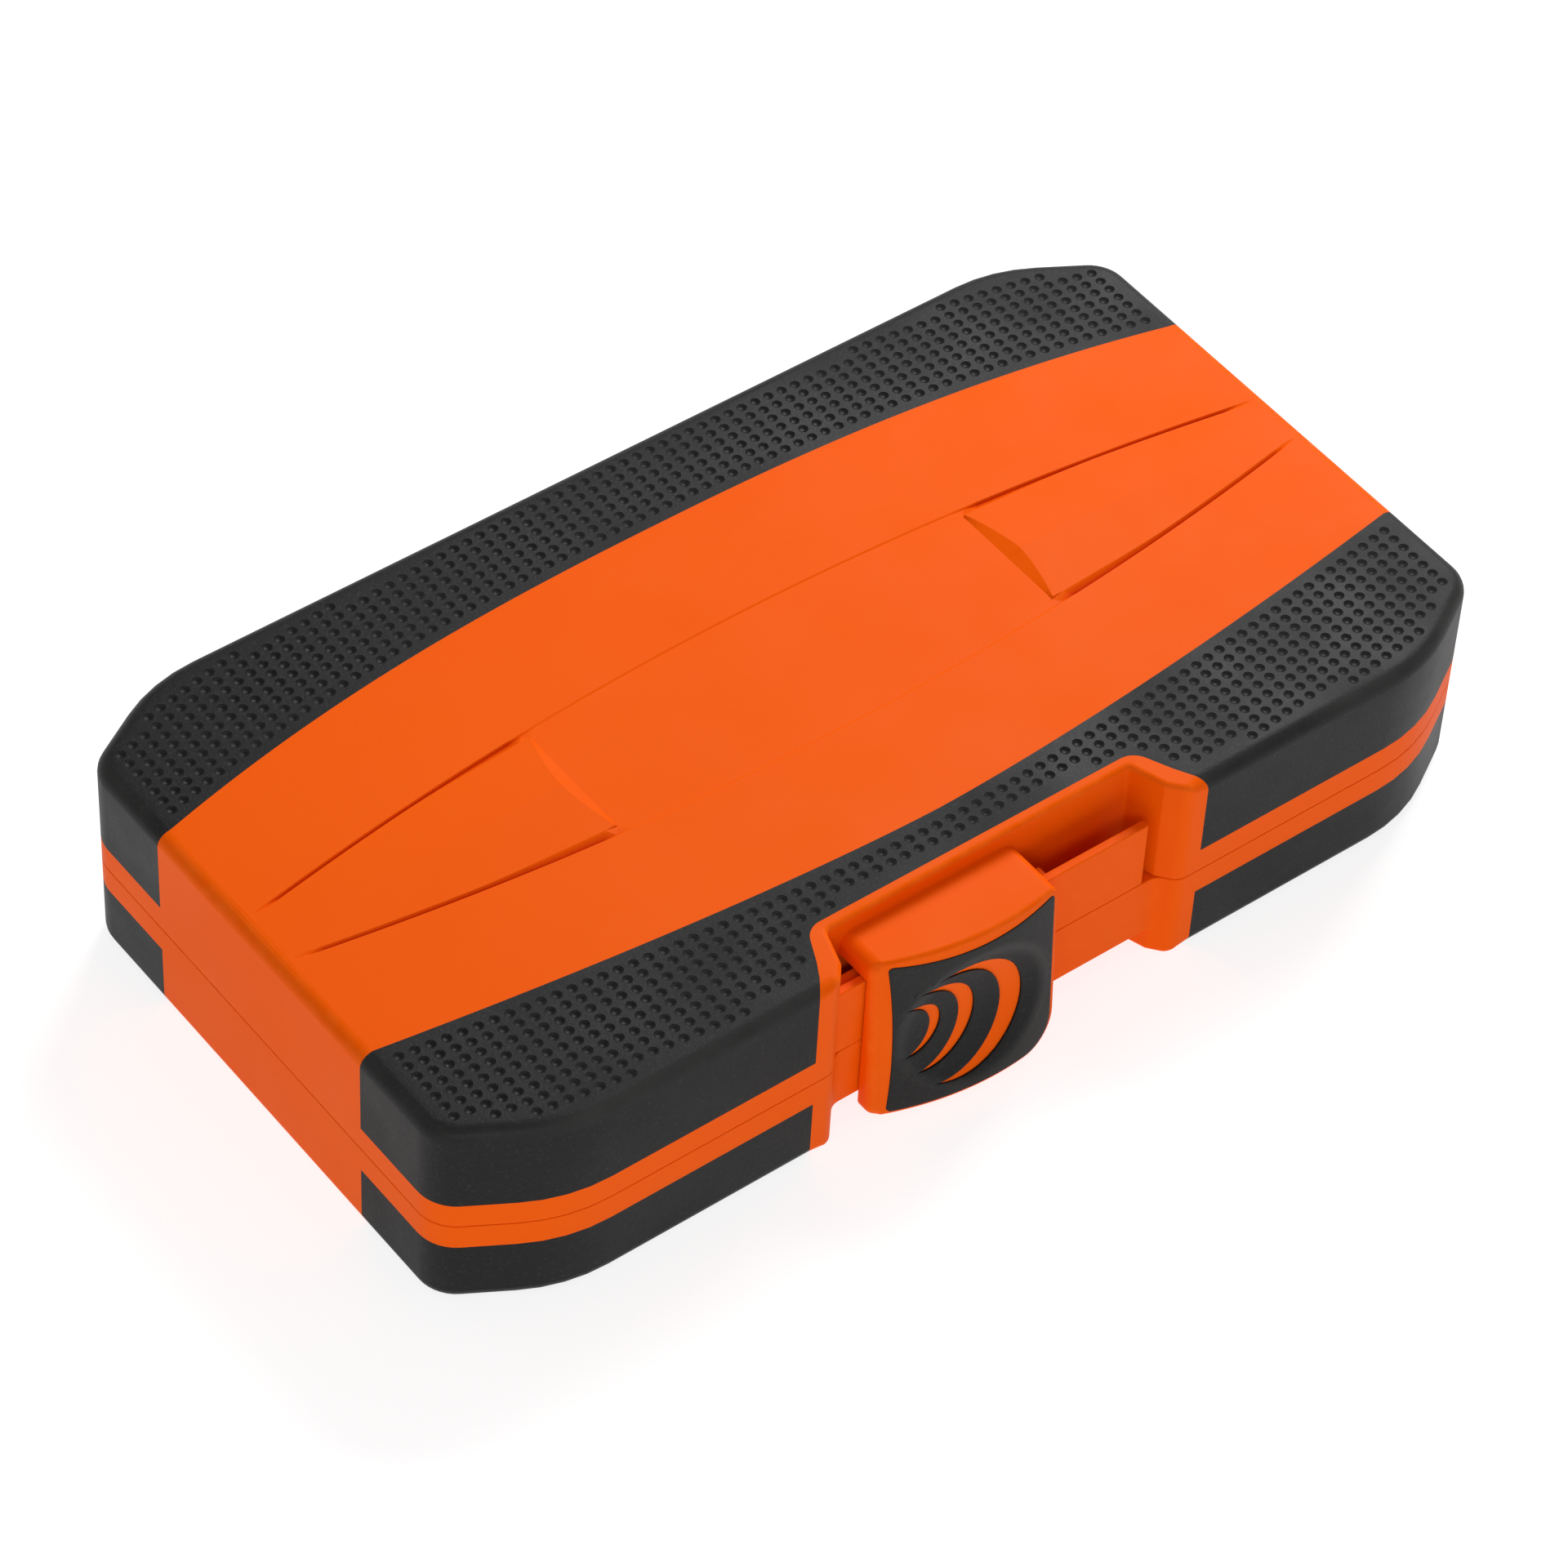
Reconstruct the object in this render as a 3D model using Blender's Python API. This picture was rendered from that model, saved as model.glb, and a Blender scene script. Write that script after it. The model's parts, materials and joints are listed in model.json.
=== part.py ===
"""Socket wrench set in a hinged plastic case with a sliding thumb latch.

Frame: metres, +Z up, the origin under the middle of the case on the surface it rests on.
The long side runs along X, the latch is at the front (-Y) and the hinges at the back (+Y).
"""
import bmesh
import bpy
from math import acos, cos, degrees, pi, radians, sin, sqrt, tan
from mathutils import Matrix, Vector

mm = 0.001

# Case: overall sizes and the outline with its four cut corners
CASE_LENGTH = 185.0 * mm
CASE_WIDTH = 102.5 * mm
CASE_HEIGHT = 35.2 * mm
PARTING_HEIGHT = 16.0 * mm
CORNER_ALONG = 16.0 * mm
CORNER_ACROSS = 9.4 * mm
END_BEND_RADIUS = 6.5 * mm
SIDE_BEND_RADIUS = 26.0 * mm
EDGE_ROUND = 2.2 * mm

# Running gap between pieces that touch, and between parts that slide
GAP = 0.3 * mm
SLIDE_GAP = 0.35 * mm

# Shell walls and the rubber grips moulded over them
SIDE_WALL = 3.6 * mm
FLOOR_WALL = 3.0 * mm
GRIP_THICKNESS = 1.5 * mm
GRIP_BAND = 4.4 * mm
GRIP_END = 24.7 * mm
BACK_ARC_RISE = 10.0 * mm
FRONT_ARC_RISE = 8.8 * mm
BACK_ARC_POWER = 2.4
FRONT_ARC_POWER = 1.6

# Latch recess in the front wall: its depths, and how much its mouth is wider than its back
RECESS_BACK = 8.65 * mm
RECESS_BEND = 2.9 * mm
RECESS_BEND_OUT = 1.9 * mm
RECESS_MOUTH_OUT = 4.3 * mm
RIM_WIDTH = 2.3 * mm
RECESS_WALL = 2.0 * mm

# Rail that the latch slides on: one plate on each half of the case, with its shelf
RAIL_SETBACK = 2.65 * mm
RAIL_THICKNESS = 1.4 * mm
RAIL_REACH_UP = 12.4 * mm
RAIL_REACH_DOWN = 11.1 * mm
RAIL_END_GAP = 2.3 * mm
SHELF_THICKNESS = 1.6 * mm

# Sliding latch
LATCH_WIDTH = 31.0 * mm
LATCH_SHIFT = 9.0 * mm
LATCH_DROP = 3.0 * mm
LATCH_BOTTOM = 1.5 * mm
LATCH_PROUD = 2.65 * mm
LATCH_LEAN = 2.0 * mm
LATCH_BOW = 2.6 * mm
LATCH_BOW_SHIFT = 0.3
LATCH_ROUND = 2.0 * mm
LATCH_FOOT_HEIGHT = 4.0 * mm
LATCH_FOOT_THICKNESS = 1.8 * mm
LATCH_FOOT_OVERHANG = 2.8 * mm
LATCH_FOOT_TUCK = 0.4 * mm
PAD_THICKNESS = 0.9 * mm
PAD_LEFT_BORDER = 2.4 * mm
PAD_RIGHT_BORDER = 0.9 * mm
PAD_TOP_BORDER = 1.0 * mm
PAD_BOTTOM_BORDER = 0.8 * mm

# Tapered panels raised on the lid
PANEL_INNER = 39.2 * mm
PANEL_OUTER = 88.0 * mm
PANEL_INNER_HALF = 10.3 * mm
PANEL_OUTER_HALF = 4.9 * mm
PANEL_RISE = 0.8 * mm

# Hinges
HINGE_STATION = 52.0 * mm
HINGE_OFFSET = 3.0 * mm
KNUCKLE_RADIUS = 2.6 * mm
KNUCKLE_MIDDLE = 9.0 * mm
KNUCKLE_SIDE = 6.0 * mm
PIN_RADIUS = 1.0 * mm
KNUCKLE_ROOT = 1.0 * mm
KNUCKLE_WEB = 3.8 * mm
STOP_RADIUS = 4.2 * mm
LID_OPENING = 110.0

# Tool tray and what stands in it
TRAY_THICKNESS = 4.7 * mm
TRAY_CLEARANCE = 0.5 * mm
WELL_FLOOR = 1.7 * mm
SOCKET_SIZES = (14, 13, 12, 11, 10, 9, 8, 7, 6, 5.5, 5, 4.5, 4)
BACK_ROW_COUNT = 6
SOCKET_HEIGHT = 25.0 * mm
SOCKET_WALL = 1.5 * mm
SOCKET_DRIVE_DIAMETER = 11.8 * mm
SOCKET_SPACING = 3.0 * mm
SOCKET_HEX_DEPTH = 12.0 * mm
SQUARE_DRIVE = 6.35 * mm
SQUARE_DEPTH = 9.0 * mm
PEG_HEIGHT = 6.0 * mm
ROW_INSET = 9.5 * mm
BACK_ROW_Y = 8.5 * mm
FRONT_ROW_Y = -11.0 * mm

# Screwdriver bits and their holder block
BIT_HEX = 6.35 * mm
BIT_LENGTH = 25.0 * mm
BIT_SHANK = 15.0 * mm
BIT_SPACING = 9.5 * mm
BIT_BLOCK_HEIGHT = 6.0 * mm
BIT_START = 41.0 * mm
BIT_ROW_YS = (14.0 * mm, 4.0 * mm)

# Extension bars
BAR_SETBACK = 20.25 * mm
BAR_SOCKET_RADIUS = 5.9 * mm
BAR_SHAFT_RADIUS = 3.9 * mm
BAR_SOCKET_LENGTH = 15.0 * mm
LONG_BAR_INSET = 10.5 * mm
LONG_BAR_LENGTH = 100.0 * mm
BAR_SPACING = 15.0 * mm
SHORT_BAR_LENGTH = 50.0 * mm
SQUARE_LENGTH = 7.5 * mm
BALL_RADIUS = 1.4 * mm

# Ratchet, lying with its square drive down
RATCHET_INSET = 26.5 * mm
RATCHET_SETBACK = 18.25 * mm
RATCHET_LENGTH = 146.0 * mm
HEAD_WALL = 2.7 * mm
HEAD_THICKNESS = 10.5 * mm
HEAD_ROOF = 2.5 * mm
GEAR_STEP = 2.6 * mm
GEAR_HEIGHT = 5.7 * mm
GEAR_TEETH = 24
COVER_STEP = 2.2 * mm
COVER_THICKNESS = 1.4 * mm
NECK_LAND = 0.51 * mm
STEM_RADIUS = 1.6 * mm
BUTTON_RADIUS = 4.2 * mm
BUTTON_TRAVEL = 1.5 * mm
BUTTON_CAP = 1.8 * mm
PAWL_CLEARANCE = 0.4 * mm
PAWL_RADIUS = 3.2 * mm
LEVER_THICKNESS = 1.8 * mm
LEVER_REACH = 9.5 * mm
SHANK_WIDTH = 13.0 * mm
SHANK_END_WIDTH = 9.0 * mm
SHANK_THICKNESS = 7.0 * mm
TANG_WIDTH = 7.0 * mm
TANG_THICKNESS = 4.0 * mm
HANDLE_START = 42.0 * mm
HANDLE_WIDTH = 15.0 * mm
HANDLE_THICKNESS = 11.0 * mm

# Facets of round pieces
ROUND_SIDES = 18
SMALL_SIDES = 12

HALF_LENGTH = CASE_LENGTH / 2
HALF_WIDTH = CASE_WIDTH / 2
LID_EDGE = PARTING_HEIGHT + GAP / 2
BASE_EDGE = PARTING_HEIGHT - GAP / 2
HINGE_Y = HALF_WIDTH + HINGE_OFFSET
RAIL_FRONT = -HALF_WIDTH + RAIL_SETBACK
RAIL_BACK = RAIL_FRONT + RAIL_THICKNESS
RECESS_BACK_Y = -HALF_WIDTH + RECESS_BACK
RAIL_TOP = PARTING_HEIGHT + RAIL_REACH_UP
RAIL_BOTTOM = PARTING_HEIGHT - RAIL_REACH_DOWN
TRAY_BOTTOM = FLOOR_WALL + GAP
TRAY_TOP = TRAY_BOTTOM + TRAY_THICKNESS
WELL_Z = TRAY_BOTTOM + WELL_FLOOR
SEAT_Z = WELL_Z + GAP
HEAD_BOTTOM = SEAT_Z + SQUARE_LENGTH
HEAD_TOP = HEAD_BOTTOM + HEAD_THICKNESS
LATCH_CENTRE = -LATCH_SHIFT
LATCH_TOP = CASE_HEIGHT - LATCH_DROP
LATCH_FOOT_WIDTH = LATCH_WIDTH + 2 * LATCH_FOOT_OVERHANG
RECESS_BACK_HALF = LATCH_SHIFT + LATCH_FOOT_WIDTH / 2 - LATCH_FOOT_TUCK
RECESS_BEND_HALF = RECESS_BACK_HALF + RECESS_BEND_OUT
RECESS_MOUTH_HALF = RECESS_BACK_HALF + RECESS_MOUTH_OUT
ROW_START = -HALF_LENGTH + ROW_INSET
BAR_Y = -HALF_WIDTH + BAR_SETBACK
LONG_BAR_START = -HALF_LENGTH + LONG_BAR_INSET
SHORT_BAR_START = LONG_BAR_START + LONG_BAR_LENGTH + BAR_SPACING
RATCHET_X = -HALF_LENGTH + RATCHET_INSET
RATCHET_Y = HALF_WIDTH - RATCHET_SETBACK
NECK_RADIUS = SQUARE_DRIVE / sqrt(2) + NECK_LAND
GEAR_RADIUS = NECK_RADIUS + GEAR_STEP
COVER_RADIUS = GEAR_RADIUS + COVER_STEP
HEAD_RADIUS = COVER_RADIUS + HEAD_WALL
PAWL_OFFSET = GEAR_RADIUS + PAWL_RADIUS + PAWL_CLEARANCE


# ---- modelling helpers ----

def clear_scene():
    for item in list(bpy.data.objects):
        bpy.data.objects.remove(item, do_unlink=True)


def make_material(name, colour, roughness, metallic=0.0):
    material = bpy.data.materials.new(name)
    material.use_nodes = True
    shader = material.node_tree.nodes["Principled BSDF"]
    shader.inputs["Base Color"].default_value = (*colour, 1.0)
    shader.inputs["Roughness"].default_value = roughness
    shader.inputs["Metallic"].default_value = metallic
    material.diffuse_color = (*colour, 1.0)
    return material


def make_object(name, points, faces):
    """A closed solid with its faces turned outwards."""
    mesh = bpy.data.meshes.new(name)
    shape = bmesh.new()
    corners = [shape.verts.new(point) for point in points]
    for face in faces:
        shape.faces.new([corners[index] for index in face])
    bmesh.ops.recalc_face_normals(shape, faces=shape.faces)
    shape.to_mesh(mesh)
    shape.free()
    item = bpy.data.objects.new(name, mesh)
    bpy.context.collection.objects.link(item)
    return item


def loft(name, rings):
    """A solid through rings of equal point count, closed by a flat face at each end."""
    count = len(rings[0])
    points = [point for ring in rings for point in ring]
    faces = [list(range(count)), list(range(len(points) - count, len(points)))]
    for level in range(len(rings) - 1):
        low = level * count
        for index in range(count):
            after = (index + 1) % count
            faces.append([low + index, low + after, low + count + after, low + count + index])
    return make_object(name, points, faces)


def prism(name, outline, bottom, top):
    return loft(name, [[(x, y, z) for x, y in outline] for z in (bottom, top)])


def block(name, low, high):
    outline = [(low[0], low[1]), (high[0], low[1]), (high[0], high[1]), (low[0], high[1])]
    return prism(name, outline, low[2], high[2])


def side_prism(name, outline, left, right):
    """An outline of (y, z) points extruded along X."""
    return loft(name, [[(x, y, z) for y, z in outline] for x in (left, right)])


def circle(radius, sides, x=0.0, y=0.0, turn=0.0):
    angles = [turn + 2 * pi * index / sides for index in range(sides)]
    return [(x + radius * cos(angle), y + radius * sin(angle)) for angle in angles]


def hexagon(across_flats, x=0.0, y=0.0):
    return circle(across_flats / sqrt(3), 6, x, y)


def square(side, x=0.0, y=0.0):
    return circle(side / sqrt(2), 4, x, y, pi / 4)


def turned(name, profile, sides, x=0.0, y=0.0):
    """A solid turned about a vertical line, from (radius, z) points."""
    return loft(name, [[(px, py, z) for px, py in circle(radius, sides, x, y)]
                       for radius, z in profile])


def bar_turned(name, profile, sides, y, z):
    """A solid turned about a line along X, from (radius, x) points."""
    return loft(name, [[(x, y + py, z + pz) for py, pz in circle(radius, sides)]
                       for radius, x in profile])


def boolean(item, tool, operation="DIFFERENCE"):
    """Combines two solids exactly and drops the second."""
    step = item.modifiers.new("combine", "BOOLEAN")
    step.operation = operation
    step.solver = "EXACT"
    step.object = tool
    graph = bpy.context.evaluated_depsgraph_get()
    mesh = bpy.data.meshes.new_from_object(item.evaluated_get(graph))
    item.modifiers.remove(step)
    old = item.data
    item.data = mesh
    bpy.data.meshes.remove(old)
    bpy.data.objects.remove(tool, do_unlink=True)
    return item


def cut(item, *tools):
    for tool in tools:
        boolean(item, tool)
    return item


def join(item, *tools):
    for tool in tools:
        boolean(item, tool, "UNION")
    return item


def finish(item, material, pivot=None, smooth=True):
    """Cleans the mesh, gives it its material and puts its origin on its joint's axis."""
    shape = bmesh.new()
    shape.from_mesh(item.data)
    bmesh.ops.remove_doubles(shape, verts=shape.verts, dist=0.002 * mm)
    bmesh.ops.dissolve_degenerate(shape, edges=shape.edges, dist=0.002 * mm)
    bmesh.ops.recalc_face_normals(shape, faces=shape.faces)
    shape.to_mesh(item.data)
    shape.free()
    item.data.name = item.name
    item.data.materials.clear()
    item.data.materials.append(material)
    if smooth:
        item.data.shade_smooth()
        item.data.set_sharp_from_angle(angle=radians(35))
    if pivot is not None:
        item.data.transform(Matrix.Translation(-Vector(pivot)))
        item.location = pivot
    return item


# ---- outlines ----

def offset_corners(corners, inset):
    """Moves each edge of a counter-clockwise outline inwards."""
    moved = []
    for index, corner in enumerate(corners):
        before = Vector(corners[index - 1])
        here = Vector(corner)
        after = Vector(corners[(index + 1) % len(corners)])
        first = (here - before).normalized()
        second = (after - here).normalized()
        normal = Vector((-first.y, first.x)) + Vector((-second.y, second.x))
        reach = inset * 2 / normal.length_squared
        moved.append(here + normal * reach)
    return moved


def round_corners(corners, radii, steps):
    """Replaces each corner of an outline by an arc."""
    outline = []
    for index, corner in enumerate(corners):
        here = Vector(corner)
        back = (Vector(corners[index - 1]) - here).normalized()
        ahead = (Vector(corners[(index + 1) % len(corners)]) - here).normalized()
        half_angle = back.angle(ahead) / 2
        middle = (back + ahead).normalized()
        centre = here + middle * (radii[index] / sin(half_angle))
        start = here + back * (radii[index] / tan(half_angle)) - centre
        finish_arm = here + ahead * (radii[index] / tan(half_angle)) - centre
        turn = start.angle_signed(finish_arm)
        for step in range(steps + 1):
            angle = -turn * step / steps
            outline.append(centre + Matrix.Rotation(angle, 2) @ start)
    return outline


def case_outline(inset=0.0):
    """The case seen from above: a rectangle with four cut, rounded corners."""
    along = HALF_LENGTH - CORNER_ALONG
    across = HALF_WIDTH - CORNER_ACROSS
    corners = [(HALF_LENGTH, -across), (HALF_LENGTH, across), (along, HALF_WIDTH), (-along, HALF_WIDTH),
               (-HALF_LENGTH, across), (-HALF_LENGTH, -across), (-along, -HALF_WIDTH), (along, -HALF_WIDTH)]
    end = END_BEND_RADIUS - inset
    side = SIDE_BEND_RADIUS - inset
    radii = [end, end, side, side, end, end, side, side]
    return round_corners(offset_corners(corners, inset), radii, 3)


def arc_y(x, rise, power):
    """Distance of the grip's curved edge from the middle line."""
    return GRIP_END + rise * (1 - min(abs(x) / HALF_LENGTH, 1.0) ** power)


def field_outline(margin):
    """The hard plastic field between the two grips, as seen from above."""
    reach = HALF_LENGTH + 5 * mm
    stations = [reach * (1 - index / 8) for index in range(17)]
    back = [(x, arc_y(x, BACK_ARC_RISE, BACK_ARC_POWER) + margin) for x in stations]
    front = [(-x, -arc_y(x, FRONT_ARC_RISE, FRONT_ARC_POWER) - margin) for x in stations]
    return back + front


def recess_outline(margin):
    """The latch recess as seen from above, widened by a margin and open to the front."""
    mouth = -HALF_WIDTH - 8 * mm
    back = RECESS_BACK_Y + margin
    half_points = [(RECESS_BACK_HALF + margin, back), (RECESS_BEND_HALF + margin, -HALF_WIDTH + RECESS_BEND),
                   (RECESS_MOUTH_HALF + margin * 1.5, -HALF_WIDTH), (RECESS_MOUTH_HALF + margin * 1.5, mouth)]
    right = [(x, y) for x, y in half_points]
    left = [(-x, y) for x, y in reversed(half_points)]
    return right + left


# ---- case halves ----

def half_heights(is_lid):
    """The parting edge and the outer face of one half, and which way is outwards."""
    if is_lid:
        return LID_EDGE, CASE_HEIGHT, 1
    return BASE_EDGE, 0.0, -1


def half_body(name, is_lid, inset=0.0):
    """A solid of one half's outline, its outer edge rounded, smaller all round by the inset."""
    edge, face, way = half_heights(is_lid)
    radius = EDGE_ROUND
    rings = [[(x, y, edge) for x, y in case_outline(inset)]]
    for step in range(4):
        angle = pi / 2 * step / 3
        shrink = radius * (1 - cos(angle))
        z = face - way * (inset + radius * (1 - sin(angle)))
        rings.append([(x, y, z) for x, y in case_outline(inset + shrink)])
    return loft(name, rings)


def grip_pocket(is_lid):
    """What is cut from a half to seat its two grips."""
    edge, face, way = half_heights(is_lid)
    far = HALF_LENGTH + 10 * mm
    start = edge + way * (GRIP_BAND - GAP)
    low, high = sorted((start, face + way * 3 * mm))
    pocket = block("pocket", (-far, -far, low), (far, far, high))
    low, high = sorted((edge, face + way * 5 * mm))
    return cut(pocket, half_body("core", is_lid, GRIP_THICKNESS + GAP),
               prism("field", field_outline(-GAP), low, high),
               prism("rim", recess_outline(RIM_WIDTH - GAP), low, high))


def make_grip(name, is_lid, is_front, material):
    """A rubber skin over one long side, wrapped onto the large face and around both corners."""
    edge, face, way = half_heights(is_lid)
    far = HALF_LENGTH + 10 * mm
    grip = half_body(name, is_lid)
    low, high = sorted((edge - way * mm, edge + way * GRIP_BAND))
    cut(grip, block("band", (-far, -far, low), (far, far, high)))
    low, high = sorted((edge, face + way * 5 * mm))
    cut(grip, half_body("core", is_lid, GRIP_THICKNESS), prism("field", field_outline(0.0), low, high))
    if is_front:
        cut(grip, prism("rim", recess_outline(RIM_WIDTH), low, high),
            block("other side", (-far, 0, low), (far, far, high)))
    else:
        cut(grip, block("other side", (-far, -far, low), (far, 0, high)))
    return finish(grip, material)


def cavity(is_lid):
    """The hollow of one half, kept clear of the latch recess."""
    edge, face, way = half_heights(is_lid)
    top = face - way * FLOOR_WALL
    low, high = sorted((edge - way * mm, top))
    hollow = prism("hollow", case_outline(SIDE_WALL), low, high)
    low, high = sorted((edge - way * 3 * mm, face + way * mm))
    return cut(hollow, prism("recess wall", recess_outline(RECESS_WALL), low, high))


def stop_angle():
    """Where the lid's stop points at rest, so that its tip meets the base's wall at full opening."""
    return LID_OPENING - degrees(acos(-(HINGE_OFFSET - GAP) / STOP_RADIUS))


def knuckle_outline(way, with_stop):
    """A hinge knuckle and its web in the YZ plane, reaching up (1) or down (-1) the back wall."""
    root = HALF_WIDTH - KNUCKLE_ROOT
    outline = [(root, PARTING_HEIGHT + way * KNUCKLE_WEB), (root, PARTING_HEIGHT + way * GAP)]
    arms = [(angle, KNUCKLE_RADIUS) for angle in range(180, 421, 30)]
    if with_stop:
        lug = stop_angle() + 360
        arms = [(angle, KNUCKLE_RADIUS) for angle in range(180, 271, 30)]
        arms += [(lug, STOP_RADIUS), (lug + 28, STOP_RADIUS), (lug + 54, KNUCKLE_RADIUS),
                 (420, KNUCKLE_RADIUS)]
    for angle, radius in arms:
        turn = radians(angle)
        outline.append((HINGE_Y + radius * cos(turn), PARTING_HEIGHT + way * radius * sin(turn)))
    return outline


def hinge_pieces(is_lid):
    """Knuckles of one half at both hinge stations: one in the middle or two outside it."""
    way = half_heights(is_lid)[2]
    half = KNUCKLE_MIDDLE / 2
    spans = [(-half, half)]
    if not is_lid:
        spans = [(-half - GAP - KNUCKLE_SIDE, -half - GAP), (half + GAP, half + GAP + KNUCKLE_SIDE)]
    pieces = []
    for station in (-HINGE_STATION, HINGE_STATION):
        for left, right in spans:
            piece = side_prism("knuckle", knuckle_outline(way, is_lid), station + left, station + right)
            bore = bar_turned("bore", [(PIN_RADIUS + GAP, station + left - mm),
                                       (PIN_RADIUS + GAP, station + right + mm)],
                              SMALL_SIDES, HINGE_Y, PARTING_HEIGHT)
            pieces.append(cut(piece, bore))
    return pieces


def rail_pieces(is_lid):
    """The latch's rail plate and the shelf that carries it, across the recess."""
    edge, face, way = half_heights(is_lid)
    tip = RAIL_TOP if is_lid else RAIL_BOTTOM
    right = RECESS_BEND_HALF - RAIL_END_GAP if is_lid else RECESS_BEND_HALF + mm
    low, high = sorted((edge, tip))
    plate = block("plate", (-RECESS_BEND_HALF - mm, RAIL_FRONT, low), (right, RAIL_BACK, high))
    low, high = sorted((edge, edge + way * SHELF_THICKNESS))
    shelf = block("shelf", (-RECESS_BACK_HALF - mm, RAIL_FRONT, low),
                  (right - mm, RECESS_BACK_Y + mm, high))
    return plate, shelf


def lid_panel(side):
    """A tapered panel on the lid, ridged along its middle and highest at its inner end."""
    sunk = CASE_HEIGHT - 0.5 * mm
    inner = side * PANEL_INNER
    outer = side * PANEL_OUTER
    points = [(inner, -PANEL_INNER_HALF, sunk), (inner, PANEL_INNER_HALF, sunk),
              (outer, PANEL_OUTER_HALF, sunk), (outer, -PANEL_OUTER_HALF, sunk),
              (inner, -PANEL_INNER_HALF, CASE_HEIGHT + 0.1 * mm),
              (inner, PANEL_INNER_HALF, CASE_HEIGHT + 0.1 * mm),
              (outer, PANEL_OUTER_HALF, CASE_HEIGHT + 0.1 * mm),
              (outer, -PANEL_OUTER_HALF, CASE_HEIGHT + 0.1 * mm),
              (inner + side * 2 * mm, 0, CASE_HEIGHT + PANEL_RISE)]
    faces = [(0, 1, 2, 3), (0, 1, 5, 4), (1, 2, 6, 5), (2, 3, 7, 6), (3, 0, 4, 7),
             (4, 5, 8), (5, 6, 8), (6, 7, 8), (7, 4, 8)]
    return make_object("panel", points, faces)


def make_shell(name, is_lid, material):
    """One half of the case: a tub with grip pockets, recess, rail and hinge knuckles."""
    edge, face, way = half_heights(is_lid)
    shell = half_body(name, is_lid)
    low, high = sorted((edge - way * mm, face + way * mm))
    cut(shell, grip_pocket(is_lid), cavity(is_lid), prism("recess", recess_outline(0.0), low, high))
    join(shell, *rail_pieces(is_lid), *hinge_pieces(is_lid))
    if is_lid:
        join(shell, lid_panel(-1), lid_panel(1))
    return finish(shell, material)


def make_hinge_pin(name, station, material):
    half = KNUCKLE_MIDDLE / 2 + GAP + KNUCKLE_SIDE
    profile = [(PIN_RADIUS, station - half), (PIN_RADIUS, station + half)]
    return finish(bar_turned(name, profile, SMALL_SIDES, HINGE_Y, PARTING_HEIGHT), material)


# ---- latch ----

def latch_face_y(x, z):
    """The latch's bowed front face, leaning forwards towards its lower edge."""
    place = (x - LATCH_CENTRE) / (LATCH_WIDTH / 2)
    lean = LATCH_LEAN * (LATCH_TOP - z) / (LATCH_TOP - LATCH_BOTTOM)
    return -HALF_WIDTH - LATCH_PROUD - lean + LATCH_BOW * (place - LATCH_BOW_SHIFT) ** 2


def latch_front(name, forward):
    """Everything behind the bowed face, as a solid that is moved forwards by a distance."""
    columns = 8
    xs = [LATCH_CENTRE + (index / columns - 0.5) * (LATCH_WIDTH + 4 * mm) for index in range(columns + 1)]
    back = RECESS_BACK_Y
    rings = []
    for z in (LATCH_BOTTOM - 2 * mm, LATCH_TOP + 2 * mm):
        face = [(x, latch_face_y(x, z) - forward, z) for x in xs]
        rings.append(face + [(xs[-1], back, z), (xs[0], back, z)])
    return loft(name, rings)


def latch_outline():
    """The latch seen from the front, as (x, z) points with rounded corners."""
    left = LATCH_CENTRE - LATCH_WIDTH / 2
    right = LATCH_CENTRE + LATCH_WIDTH / 2
    corners = [(left, LATCH_BOTTOM), (right, LATCH_BOTTOM), (right, LATCH_TOP), (left, LATCH_TOP)]
    return round_corners(corners, [LATCH_ROUND, 3 * LATCH_ROUND, LATCH_ROUND, LATCH_ROUND], 3)


def pad_outline(gap):
    """The rubber pad seen from the front, widened by a gap, as (x, z) points."""
    left = LATCH_CENTRE - LATCH_WIDTH / 2 + PAD_LEFT_BORDER - gap
    right = LATCH_CENTRE + LATCH_WIDTH / 2 - PAD_RIGHT_BORDER + gap
    low = LATCH_BOTTOM + PAD_BOTTOM_BORDER - gap
    high = LATCH_TOP - PAD_TOP_BORDER + gap
    corners = [(left, low), (right, low), (right, high), (left, high)]
    small = LATCH_ROUND - PAD_TOP_BORDER + gap
    return round_corners(corners, [small, 3 * LATCH_ROUND - PAD_RIGHT_BORDER + gap, small, small], 3)


def front_prism(name, outline, near, far):
    """An (x, z) outline extruded along Y."""
    return loft(name, [[(x, y, z) for x, z in outline] for y in (near, far)])


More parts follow.
